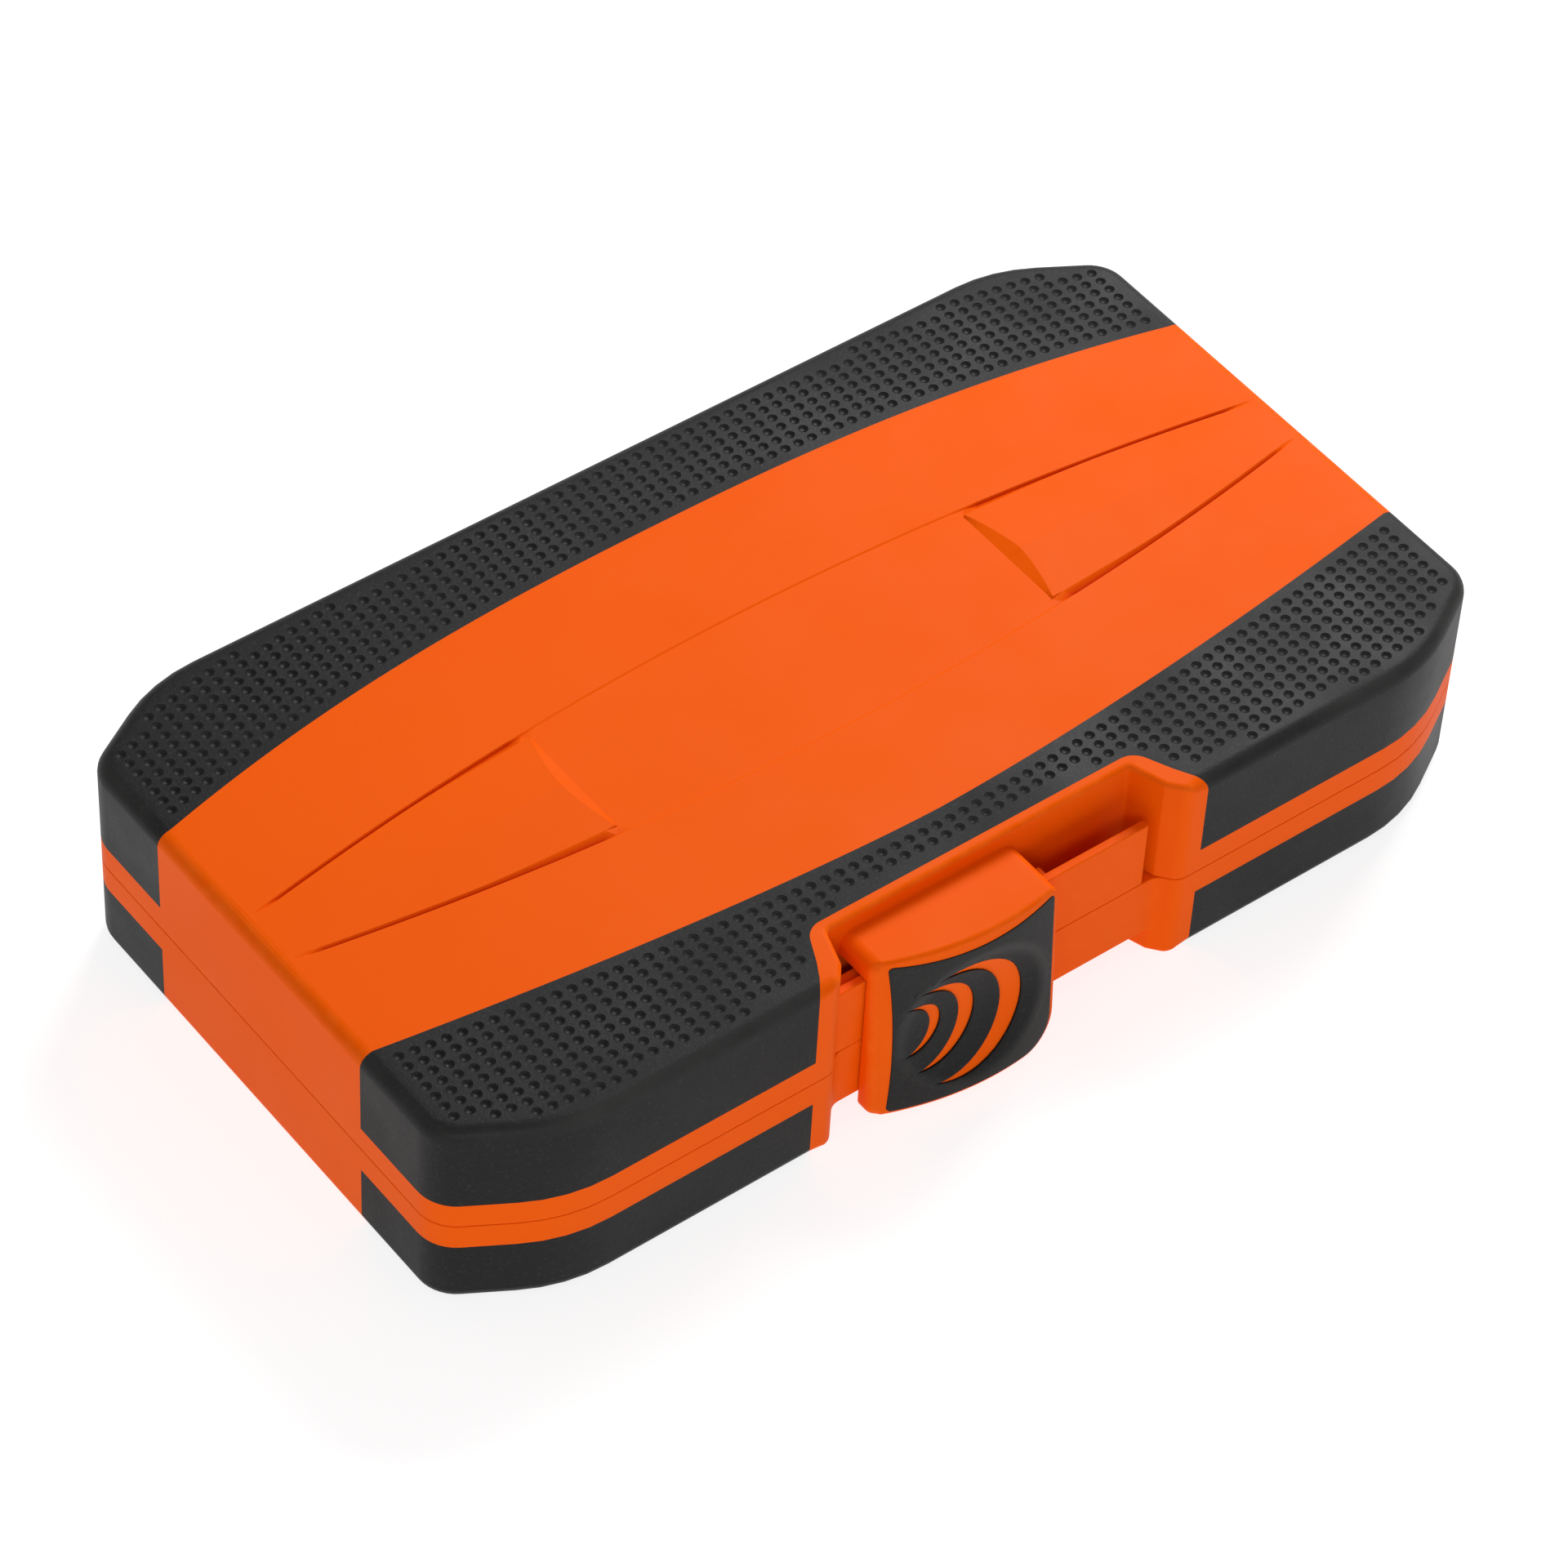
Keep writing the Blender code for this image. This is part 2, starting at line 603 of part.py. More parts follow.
def make_latch(slider_material, pad_material):
    """The slider hooks over the lid's rail; its foot meets the recess walls at both ends."""
    pivot = (LATCH_CENTRE, RAIL_FRONT, RAIL_TOP)
    foot_back = RAIL_BACK + SLIDE_GAP + LATCH_FOOT_THICKNESS
    roof_back = RECESS_BACK_Y - SLIDE_GAP
    slider = front_prism("latch_slider", latch_outline(), -HALF_WIDTH - 12 * mm, roof_back)
    boolean(slider, latch_front("front", 0.0), "INTERSECT")
    under_roof = RAIL_TOP + SLIDE_GAP
    far = LATCH_WIDTH
    cut(slider, block("rail slot", (LATCH_CENTRE - far, RAIL_FRONT - SLIDE_GAP, -mm),
                      (LATCH_CENTRE + far, 0, under_roof)))
    foot = block("foot", (LATCH_CENTRE - LATCH_FOOT_WIDTH / 2, RAIL_BACK + SLIDE_GAP,
                          RAIL_TOP - LATCH_FOOT_HEIGHT),
                 (LATCH_CENTRE + LATCH_FOOT_WIDTH / 2, foot_back, RAIL_TOP))
    neck = block("neck", (LATCH_CENTRE - LATCH_WIDTH / 2 + 3 * mm, RAIL_BACK + SLIDE_GAP, RAIL_TOP - mm),
                 (LATCH_CENTRE + LATCH_WIDTH / 2 - 3 * mm, foot_back, RAIL_TOP + 2 * mm))
    join(slider, foot, neck)
    pocket = front_prism("pocket", pad_outline(GAP), -HALF_WIDTH - 20 * mm, roof_back)
    cut(pocket, latch_front("floor", -PAD_THICKNESS - GAP))
    cut(slider, pocket)
    finish(slider, slider_material, pivot)
    pad = front_prism("latch_pad", pad_outline(0.0), -HALF_WIDTH - 20 * mm, roof_back)
    boolean(pad, latch_front("front", 0.0), "INTERSECT")
    cut(pad, latch_front("floor", -PAD_THICKNESS))
    finish(pad, pad_material, pivot)
    pad.parent = slider
    pad.location = (0, 0, 0)
    return slider


# ---- sockets, bits and bars ----

def socket_diameter(size):
    """Outer diameter over the hexagon's corners and the wall on both sides."""
    return size * mm * 2 / sqrt(3) + 2 * SOCKET_WALL


def size_name(size):
    return str(size).replace(".", "_")


def socket_places():
    """Size, x and y of each socket, set out in two rows."""
    places = []
    rows = ((SOCKET_SIZES[:BACK_ROW_COUNT], BACK_ROW_Y), (SOCKET_SIZES[BACK_ROW_COUNT:], FRONT_ROW_Y))
    for sizes, y in rows:
        x = ROW_START
        for size in sizes:
            diameter = max(socket_diameter(size), SOCKET_DRIVE_DIAMETER)
            places.append((size, x + diameter / 2, y))
            x += diameter + SOCKET_SPACING
    return places


def socket_body(name, x, y, head_radius, hole):
    """A turned socket: square drive below, working hole above, open right through."""
    drive_radius = SOCKET_DRIVE_DIAMETER / 2
    top = SEAT_Z + SOCKET_HEIGHT
    chamfer = 0.6 * mm
    shoulder = SEAT_Z + 11 * mm
    slope = abs(head_radius - drive_radius)
    profile = [(drive_radius - chamfer, SEAT_Z), (drive_radius, SEAT_Z + chamfer),
               (drive_radius, shoulder), (head_radius, shoulder + slope + chamfer),
               (head_radius, top - chamfer), (head_radius - chamfer, top)]
    body = turned(name, profile, ROUND_SIDES, x, y)
    through = circle(SQUARE_DRIVE * 0.27, SMALL_SIDES, x, y)
    return cut(body, prism("working hole", hole, top - SOCKET_HEX_DEPTH, top + mm),
               prism("drive hole", square(SQUARE_DRIVE, x, y), SEAT_Z - mm, SEAT_Z + SQUARE_DEPTH),
               prism("through", through, SEAT_Z + SQUARE_DEPTH - mm, top - SOCKET_HEX_DEPTH + mm))


def make_sockets(material):
    for size, x, y in socket_places():
        name = "socket_" + size_name(size)
        body = socket_body(name, x, y, socket_diameter(size) / 2, hexagon(size * mm, x, y))
        finish(body, material, (x, y, SEAT_Z))


def adaptor_place():
    """The bit adaptor stands after the last socket of the front row."""
    size, x, y = socket_places()[-1]
    return x + SOCKET_DRIVE_DIAMETER + SOCKET_SPACING, y


def make_adaptor(material):
    x, y = adaptor_place()
    body = socket_body("bit_adaptor", x, y, SOCKET_DRIVE_DIAMETER / 2 - 0.5 * mm, hexagon(BIT_HEX, x, y))
    finish(body, material, (x, y, SEAT_Z))


def bit_kinds():
    """Name and tip of each bit: the tip's shape and its size in millimetres."""
    kinds = [("slotted", size) for size in (4, 5.5, 6.5)]
    kinds += [("cross", size) for size in (1, 2, 3)]
    kinds += [("hex", size) for size in (3, 4, 5, 6)]
    return kinds


def bit_places():
    places = []
    for index, (shape, size) in enumerate(bit_kinds()):
        column = index % 5
        row = index // 5
        places.append((shape, size, BIT_START + column * BIT_SPACING, BIT_ROW_YS[row]))
    return places


def tip_outline(shape, size, x, y, scale=1.0):
    """Cross-section of a bit's tip: a blade, a four-winged cross or a hexagon."""
    if shape == "slotted":
        half_width = size * mm / 2
        half_thick = (0.4 + 0.1 * size) * mm * scale
        return [(x - half_width, y - half_thick), (x + half_width, y - half_thick),
                (x + half_width, y + half_thick), (x - half_width, y + half_thick)]
    if shape == "hex":
        return hexagon(size * mm * (0.9 + 0.1 * scale), x, y)
    wing = (1.5 + 0.55 * size) * mm * scale
    web = (0.45 + 0.1 * size) * mm * scale
    points = []
    for quarter in range(4):
        turn = Matrix.Rotation(quarter * pi / 2, 2)
        for corner in ((web, -web), (wing, -web * 0.7), (wing, web * 0.7)):
            spot = turn @ Vector(corner)
            points.append((x + spot.x, y + spot.y))
    return points


def make_bits(material):
    for shape, size, x, y in bit_places():
        name = "bit_" + shape + "_" + size_name(size)
        shoulder = SEAT_Z + BIT_SHANK
        top = SEAT_Z + BIT_LENGTH
        chamfer = 0.6 * mm
        neck_radius = min(max(size * 0.5 + 0.4, 2.2), 3.0) * mm
        shank = loft(name, [[(px, py, z) for px, py in hexagon(width, x, y)] for width, z in
                            ((BIT_HEX - chamfer, SEAT_Z), (BIT_HEX, SEAT_Z + chamfer),
                             (BIT_HEX, shoulder), (2 * neck_radius, shoulder + chamfer))])
        neck = prism("neck", circle(neck_radius * 0.85, SMALL_SIDES, x, y), shoulder, top - 5 * mm)
        end_scale = {"slotted": 0.8, "cross": 0.35, "hex": 1.0}[shape]
        tip = loft("tip", [[(px, py, top - 6 * mm) for px, py in tip_outline(shape, size, x, y)],
                           [(px, py, top) for px, py in tip_outline(shape, size, x, y, end_scale)]])
        finish(join(shank, neck, tip), material, (x, y, SEAT_Z), smooth=False)


def make_bar(name, start, length, material):
    """An extension bar lying along X: a socket end, a shaft and a square drive with its ball."""
    z = SEAT_Z + BAR_SOCKET_RADIUS
    end = start + length
    collar = end - SQUARE_LENGTH
    chamfer = 0.6 * mm
    bar = bar_turned(name, [(BAR_SOCKET_RADIUS - chamfer, start), (BAR_SOCKET_RADIUS, start + chamfer),
                            (BAR_SOCKET_RADIUS, start + BAR_SOCKET_LENGTH),
                            (BAR_SHAFT_RADIUS, start + BAR_SOCKET_LENGTH + 2 * mm),
                            (BAR_SHAFT_RADIUS, collar - 7 * mm), (BAR_SOCKET_RADIUS - mm, collar - 5 * mm),
                            (BAR_SOCKET_RADIUS - mm, collar)], ROUND_SIDES, BAR_Y, z)
    half = SQUARE_DRIVE / 2
    drive = block("drive", (collar - mm, BAR_Y - half, z - half), (end, BAR_Y + half, z + half))
    hole = block("hole", (start - mm, BAR_Y - half, z - half),
                 (start + SQUARE_DEPTH, BAR_Y + half, z + half))
    seat = ball_seat(end - SQUARE_LENGTH / 2, BAR_Y, z + half)
    finish(cut(join(bar, drive), hole, seat), material)
    make_ball(name + "_ball", end - SQUARE_LENGTH / 2, BAR_Y, z + half - 0.9 * mm, material)


def ball_seat(x, y, top):
    """A small round pocket below a flat face, for a drive's ball."""
    return prism("seat", circle(BALL_RADIUS + GAP, SMALL_SIDES, x, y),
                 top - 2 * BALL_RADIUS - 0.1 * mm, top + mm)


def make_ball(name, x, y, z, material, pivot=None):
    rings = 6
    profile = [(BALL_RADIUS * sin(pi * step / rings), z - BALL_RADIUS * cos(pi * step / rings))
               for step in range(1, rings)]
    return finish(turned(name, profile, SMALL_SIDES, x, y), material, pivot)


# ---- ratchet ----

def head_cavity(x, y):
    """Room for the gear, its cover and the pawl, opening downwards."""
    roof = HEAD_TOP - HEAD_ROOF
    room = prism("gear room", circle(GEAR_RADIUS + GAP, ROUND_SIDES, x, y), HEAD_BOTTOM - mm, roof)
    seat = prism("cover seat", circle(COVER_RADIUS + GAP, ROUND_SIDES, x, y),
                 HEAD_BOTTOM - mm, HEAD_BOTTOM + COVER_THICKNESS + GAP)
    pawl = prism("pawl room", circle(PAWL_RADIUS + GAP, SMALL_SIDES, x + PAWL_OFFSET, y),
                 HEAD_BOTTOM + COVER_THICKNESS - mm, roof)
    button = prism("button hole", circle(STEM_RADIUS + GAP, SMALL_SIDES, x, y), roof - mm, HEAD_TOP + mm)
    lever = prism("lever hole", circle(STEM_RADIUS + GAP, SMALL_SIDES, x + PAWL_OFFSET, y),
                  roof - mm, HEAD_TOP + mm)
    return room, seat, pawl, button, lever


def make_ratchet_body(material):
    """Round head, tapering shank and the tang inside the handle."""
    x, y = RATCHET_X, RATCHET_Y
    chamfer = 0.8 * mm
    middle = (HEAD_BOTTOM + HEAD_TOP) / 2
    body = turned("ratchet_body", [(HEAD_RADIUS - chamfer, HEAD_BOTTOM), (HEAD_RADIUS, HEAD_BOTTOM + chamfer),
                                   (HEAD_RADIUS, HEAD_TOP - chamfer), (HEAD_RADIUS - chamfer, HEAD_TOP)],
                  ROUND_SIDES, x, y)
    shoulder = x + PAWL_OFFSET + 8 * mm
    handle = x + HANDLE_START
    wide = SHANK_WIDTH / 2
    slim = SHANK_END_WIDTH / 2
    thick = SHANK_THICKNESS / 2
    rings = []
    for place, width, low, high in ((x + 4 * mm, wide + 3 * mm, HEAD_BOTTOM, HEAD_TOP),
                                    (x + PAWL_OFFSET + 2 * mm, wide + mm, HEAD_BOTTOM, HEAD_TOP),
                                    (shoulder, slim + mm, middle - thick, middle + thick),
                                    (handle, slim, middle - thick, middle + thick)):
        rings.append([(place, y - width, low + chamfer), (place, y - width + chamfer, low),
                      (place, y + width - chamfer, low), (place, y + width, low + chamfer),
                      (place, y + width, high - chamfer), (place, y + width - chamfer, high),
                      (place, y - width + chamfer, high), (place, y - width, high - chamfer)])
    tang_end = x - HEAD_RADIUS + RATCHET_LENGTH - 20 * mm
    tang = block("tang", (handle - mm, y - TANG_WIDTH / 2, middle - TANG_THICKNESS / 2),
                 (tang_end, y + TANG_WIDTH / 2, middle + TANG_THICKNESS / 2))
    join(body, loft("shank", rings), tang)
    cut(body, *head_cavity(x, y))
    finish(body, material)


def make_handle(material):
    """Soft handle over the tang, waisted near the shank and full at its end."""
    x, y = RATCHET_X, RATCHET_Y
    middle = (HEAD_BOTTOM + HEAD_TOP) / 2
    start = x + HANDLE_START + GAP
    end = x - HEAD_RADIUS + RATCHET_LENGTH
    sides = 16
    rings = []
    swells = ((0.0, 0.80), (0.03, 0.92), (0.15, 0.88), (0.4, 0.95), (0.75, 1.0), (0.96, 0.9), (1.0, 0.7))
    for part, swell in swells:
        place = start + (end - start) * part
        rings.append([(place, y + HANDLE_WIDTH / 2 * swell * cos(2 * pi * index / sides),
                       middle + HANDLE_THICKNESS / 2 * swell * sin(2 * pi * index / sides))
                      for index in range(sides)])
    handle = loft("ratchet_handle", rings)
    tang_end = end - 20 * mm
    room = block("tang room", (start - mm, y - TANG_WIDTH / 2 - GAP, middle - TANG_THICKNESS / 2 - GAP),
                 (tang_end + GAP, y + TANG_WIDTH / 2 + GAP, middle + TANG_THICKNESS / 2 + GAP))
    finish(cut(handle, room), material)


def make_gear_cover(material):
    """The plate that closes the head around the drive's neck."""
    x, y = RATCHET_X, RATCHET_Y
    cover = prism("gear_cover", circle(COVER_RADIUS, ROUND_SIDES, x, y),
                  HEAD_BOTTOM, HEAD_BOTTOM + COVER_THICKNESS)
    hole = prism("hole", circle(NECK_RADIUS + GAP, ROUND_SIDES, x, y),
                 HEAD_BOTTOM - mm, HEAD_BOTTOM + 3 * mm)
    finish(cut(cover, hole), material)


def make_drive(material):
    """Toothed gear, round neck and square drive, bored for the release stem."""
    x, y = RATCHET_X, RATCHET_Y
    low = HEAD_BOTTOM + COVER_THICKNESS + GAP
    outline = []
    for tooth in range(2 * GEAR_TEETH):
        radius = GEAR_RADIUS - (0.7 * mm if tooth % 2 else 0.0)
        angle = pi * tooth / GEAR_TEETH
        outline.append((x + radius * cos(angle), y + radius * sin(angle)))
    gear = prism("drive_square", outline, low, low + GEAR_HEIGHT)
    neck = prism("neck", circle(NECK_RADIUS, ROUND_SIDES, x, y), HEAD_BOTTOM, low + mm)
    drive = prism("drive", square(SQUARE_DRIVE, x, y), SEAT_Z, HEAD_BOTTOM + mm)
    bore = prism("bore", circle(STEM_RADIUS + GAP, SMALL_SIDES, x, y), SEAT_Z + 4 * mm, HEAD_TOP)
    join(gear, neck, drive)
    ball_z = SEAT_Z + SQUARE_LENGTH / 2 - 0.6 * mm
    half = SQUARE_DRIVE / 2
    seat = front_prism("seat", [(px, pz) for px, pz in circle(BALL_RADIUS + GAP, SMALL_SIDES, x, ball_z)],
                       y - half - mm, y - half + 2 * BALL_RADIUS - 0.4 * mm)
    cut(gear, bore, seat)
    finish(gear, material, (x, y, HEAD_BOTTOM))
    make_ball("drive_ball", x, y - half + 0.9 * mm, ball_z, material, (x, y, HEAD_BOTTOM))


def make_release_button(material):
    x, y = RATCHET_X, RATCHET_Y
    cap = HEAD_TOP + BUTTON_TRAVEL + GAP
    low = SEAT_Z + 4 * mm + BUTTON_TRAVEL + GAP
    profile = [(STEM_RADIUS, low), (STEM_RADIUS, cap), (BUTTON_RADIUS, cap),
               (BUTTON_RADIUS, cap + BUTTON_CAP * 0.6), (BUTTON_RADIUS - 0.8 * mm, cap + BUTTON_CAP)]
    finish(turned("release_button", profile, ROUND_SIDES, x, y), material, (x, y, cap))


def make_reversing_lever(lever_material, pawl_material):
    """A thumb lever on the head whose stem turns the pawl."""
    x, y = RATCHET_X + PAWL_OFFSET, RATCHET_Y
    roof = HEAD_TOP - HEAD_ROOF
    low = HEAD_TOP + GAP
    outline = [(x + LEVER_REACH, y + 1.6 * mm), (x + LEVER_REACH, y - 1.6 * mm)]
    hub = 3.6 * mm
    outline += [(x - hub * sin(radians(30 * step)), y - hub * cos(radians(30 * step)))
                for step in range(7)]
    lever = prism("reversing_lever", outline, low, low + LEVER_THICKNESS)
    stem = prism("stem", circle(STEM_RADIUS, SMALL_SIDES, x, y), roof + GAP, low + mm)
    tip = block("tip", (x + LEVER_REACH - 3 * mm, y - 1.6 * mm, low + mm),
                (x + LEVER_REACH, y + 1.6 * mm, low + LEVER_THICKNESS + 1.4 * mm))
    finish(join(lever, stem, tip), lever_material, (x, y, low))
    pawl_low = HEAD_BOTTOM + COVER_THICKNESS + GAP
    pawl = prism("pawl", circle(PAWL_RADIUS, ROUND_SIDES, x, y), pawl_low, roof - GAP)
    finish(pawl, pawl_material, (x, y, low))


# ---- tray ----

def make_tray(material):
    """The insert: wells and pegs for sockets, a block of bit holes, troughs and ratchet rests."""
    tray = prism("tool_tray", case_outline(SIDE_WALL + TRAY_CLEARANCE), TRAY_BOTTOM, TRAY_TOP)
    far = HALF_LENGTH
    cut(tray, prism("recess wall", recess_outline(RECESS_WALL + TRAY_CLEARANCE), -mm, CASE_HEIGHT))
    reach = BIT_SPACING / 2
    right = BIT_START + 4 * BIT_SPACING + reach
    join(tray, block("bit block", (BIT_START - reach, BIT_ROW_YS[1] - reach, TRAY_TOP - mm),
                     (right, BIT_ROW_YS[0] + reach, TRAY_TOP + BIT_BLOCK_HEIGHT)))
    x, y = RATCHET_X, RATCHET_Y
    rest = prism("head rest", circle(HEAD_RADIUS - mm, ROUND_SIDES, x, y), TRAY_TOP - mm, HEAD_BOTTOM - GAP)
    handle_low = (HEAD_BOTTOM + HEAD_TOP - HANDLE_THICKNESS) / 2
    saddle_x = x + RATCHET_LENGTH * 0.7
    saddle = block("saddle", (saddle_x, y - HANDLE_WIDTH / 2, TRAY_TOP - mm),
                   (saddle_x + 10 * mm, y + HANDLE_WIDTH / 2, handle_low - GAP))
    join(tray, rest, saddle)
    cut(tray, prism("drive well", circle(SQUARE_DRIVE * 0.75 + mm, ROUND_SIDES, x, y), WELL_Z, HEAD_TOP))
    for size, px, py in socket_places() + [(0, *adaptor_place())]:
        well = circle(SOCKET_DRIVE_DIAMETER / 2 + TRAY_CLEARANCE, ROUND_SIDES, px, py)
        cut(tray, prism("well", well, WELL_Z, TRAY_TOP + mm))
        peg = square(SQUARE_DRIVE - 2 * GAP, px, py)
        join(tray, prism("peg", peg, WELL_Z - mm, WELL_Z + PEG_HEIGHT))
    for shape, size, px, py in bit_places():
        hole = circle(BIT_HEX / sqrt(3) + GAP, SMALL_SIDES, px, py)
        cut(tray, prism("bit hole", hole, WELL_Z, TRAY_TOP + BIT_BLOCK_HEIGHT + mm))
    for start, length in ((LONG_BAR_START, LONG_BAR_LENGTH), (SHORT_BAR_START, SHORT_BAR_LENGTH)):
        half = BAR_SOCKET_RADIUS + TRAY_CLEARANCE
        cut(tray, block("trough", (start - TRAY_CLEARANCE, BAR_Y - half, WELL_Z),
                        (start + length + TRAY_CLEARANCE, BAR_Y + half, TRAY_TOP + mm)))
    finish(tray, material)


def build():
    clear_scene()
    orange = make_material("orange plastic", (0.93, 0.13, 0.004), 0.42)
    rubber = make_material("black rubber", (0.022, 0.022, 0.024), 0.55)
    dark_plastic = make_material("dark plastic", (0.03, 0.03, 0.032), 0.5)
    chrome = make_material("satin chrome", (0.78, 0.78, 0.80), 0.22, 1.0)
    steel = make_material("tool steel", (0.45, 0.45, 0.46), 0.35, 1.0)

    make_shell("base_shell", False, orange)
    make_shell("lid_shell", True, orange)
    make_grip("base_grip_front", False, True, rubber)
    make_grip("base_grip_back", False, False, rubber)
    make_grip("lid_grip_front", True, True, rubber)
    make_grip("lid_grip_back", True, False, rubber)
    make_hinge_pin("hinge_pin_left", -HINGE_STATION, steel)
    make_hinge_pin("hinge_pin_right", HINGE_STATION, steel)
    make_latch(orange, rubber)
    make_tray(dark_plastic)
    make_sockets(chrome)
    make_adaptor(chrome)
    make_bits(steel)
    make_bar("long_extension", LONG_BAR_START, LONG_BAR_LENGTH, chrome)
    make_bar("short_extension", SHORT_BAR_START, SHORT_BAR_LENGTH, chrome)
    make_ratchet_body(chrome)
    make_handle(rubber)
    make_gear_cover(steel)
    make_drive(chrome)
    make_release_button(chrome)
    make_reversing_lever(chrome, steel)


build()
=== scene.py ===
import json
from math import atan2, ceil, cos, exp, hypot, log, pi, radians, sin, sqrt, tan
import bmesh
import bpy
from mathutils import Matrix, Vector
from mathutils.geometry import delaunay_2d_cdt

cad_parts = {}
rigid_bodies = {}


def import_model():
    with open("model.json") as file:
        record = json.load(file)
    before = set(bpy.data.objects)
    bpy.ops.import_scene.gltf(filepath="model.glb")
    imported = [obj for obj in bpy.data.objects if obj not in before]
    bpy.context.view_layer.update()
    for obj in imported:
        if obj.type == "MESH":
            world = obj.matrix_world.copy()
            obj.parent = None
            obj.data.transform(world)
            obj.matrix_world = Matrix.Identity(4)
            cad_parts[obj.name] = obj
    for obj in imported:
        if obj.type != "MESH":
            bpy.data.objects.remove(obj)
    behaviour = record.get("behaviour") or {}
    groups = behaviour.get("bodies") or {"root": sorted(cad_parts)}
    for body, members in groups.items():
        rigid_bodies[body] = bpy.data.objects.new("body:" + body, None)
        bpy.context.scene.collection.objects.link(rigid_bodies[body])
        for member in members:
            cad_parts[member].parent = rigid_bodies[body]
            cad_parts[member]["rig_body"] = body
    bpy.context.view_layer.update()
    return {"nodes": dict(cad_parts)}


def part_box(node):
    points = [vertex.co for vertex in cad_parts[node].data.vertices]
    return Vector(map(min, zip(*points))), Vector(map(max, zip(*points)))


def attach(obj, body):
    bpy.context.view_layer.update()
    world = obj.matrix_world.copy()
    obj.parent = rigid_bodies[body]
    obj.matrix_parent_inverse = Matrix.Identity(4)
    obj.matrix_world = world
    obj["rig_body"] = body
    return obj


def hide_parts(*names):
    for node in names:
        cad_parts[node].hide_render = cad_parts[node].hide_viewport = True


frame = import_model()
nodes = frame["nodes"]
mm = 0.001
exact = {"join": 0.02, "weld": 0.004, "thin": 0.002, "copyWeld": 0.002}  # millimetres
print("frame loaded:", len(nodes), "nodes")


def boxOf(node):  # the lowest and highest corner, in millimetres
    low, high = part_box(node)
    return low / mm, high / mm


sliderLow, sliderHigh = boxOf("latch_slider")
padLow, padHigh = boxOf("latch_pad")
halfLength, halfWidth, caseTop = boxOf("lid_grip_back")[1]
front = -halfWidth


def filletPath(corners, turnStep=9.0):  # (x, y, radius) corners, anticlockwise, closed
    path = []
    for index, (x, y, radius) in enumerate(corners):
        here = Vector((x, y))
        back = (Vector(corners[index - 1][:2]) - here).normalized()
        ahead = (Vector(corners[(index + 1) % len(corners)][:2]) - here).normalized()
        half = back.angle(ahead) / 2
        if radius < 0.01:
            path.append(here)
            continue
        centre = here + (back + ahead).normalized() * (radius / sin(half))
        start = here + back * (radius / tan(half)) - centre
        turn = start.angle_signed(here + ahead * (radius / tan(half)) - centre)
        steps = max(3, ceil(abs(turn) / radians(turnStep)))
        for step in range(steps + 1):
            path.append(centre + Matrix.Rotation(-turn * step / steps, 2) @ start)
    return path


def withMarks(path, marks, longest=5.0):  # stations on straight stretches, then splits what is left
    out = []
    for index, point in enumerate(path):
        span = path[(index + 1) % len(path)] - point
        stops = [0.0, 1.0]
        for mark in marks:
            along = (Vector(mark) - point).dot(span) / max(span.length_squared, 1e-9)
            if 0.001 < along < 0.999 and (point + span * along - Vector(mark)).length < exact["join"]:
                stops.append(along)
        stops.sort()
        for first, last in zip(stops, stops[1:]):
            count = max(1, ceil(span.length * (last - first) / longest))
            out += [point + span * (first + (last - first) * k / count) for k in range(count)]
    return out


def mirrored(corners):
    return [(-x, y, radius) for x, y, radius in reversed(corners)]


def circle(x, y, radius, sides):
    turns = [2 * pi * k / sides for k in range(sides)]
    return [Vector((x + radius * cos(t), y + radius * sin(t))) for t in turns]


def plan(*corners):
    return filletPath(list(corners))


def outwards(path):  # how far each point moves when the outline grows by one
    arms = []
    for index, point in enumerate(path):
        first = (point - path[index - 1]).normalized()
        second = (path[(index + 1) % len(path)] - point).normalized()
        side = Vector((first.y + second.y, -first.x - second.x))
        arms.append(side * (2 / side.length_squared))
    return arms


def inside(x, y, path):
    hit = False
    for index, point in enumerate(path):
        last = path[index - 1]
        if (point[1] > y) != (last[1] > y):
            if x < (last[0] - point[0]) * (y - point[1]) / (last[1] - point[1]) + point[0]:
                hit = not hit
    return hit


def nearest(x, y, path, closed=True):  # distance from a point to an outline
    best = 1e9
    for index in range(0 if closed else 1, len(path)):
        a, b = path[index - 1], path[index]
        dx, dy = b[0] - a[0], b[1] - a[1]
        t = min(1.0, max(0.0, ((x - a[0]) * dx + (y - a[1]) * dy) / max(dx * dx + dy * dy, 1e-12)))
        best = min(best, hypot(x - a[0] - t * dx, y - a[1] - t * dy))
    return best


def smooth(t):
    t = min(1.0, max(0.0, t))
    return t * t * (3 - 2 * t)


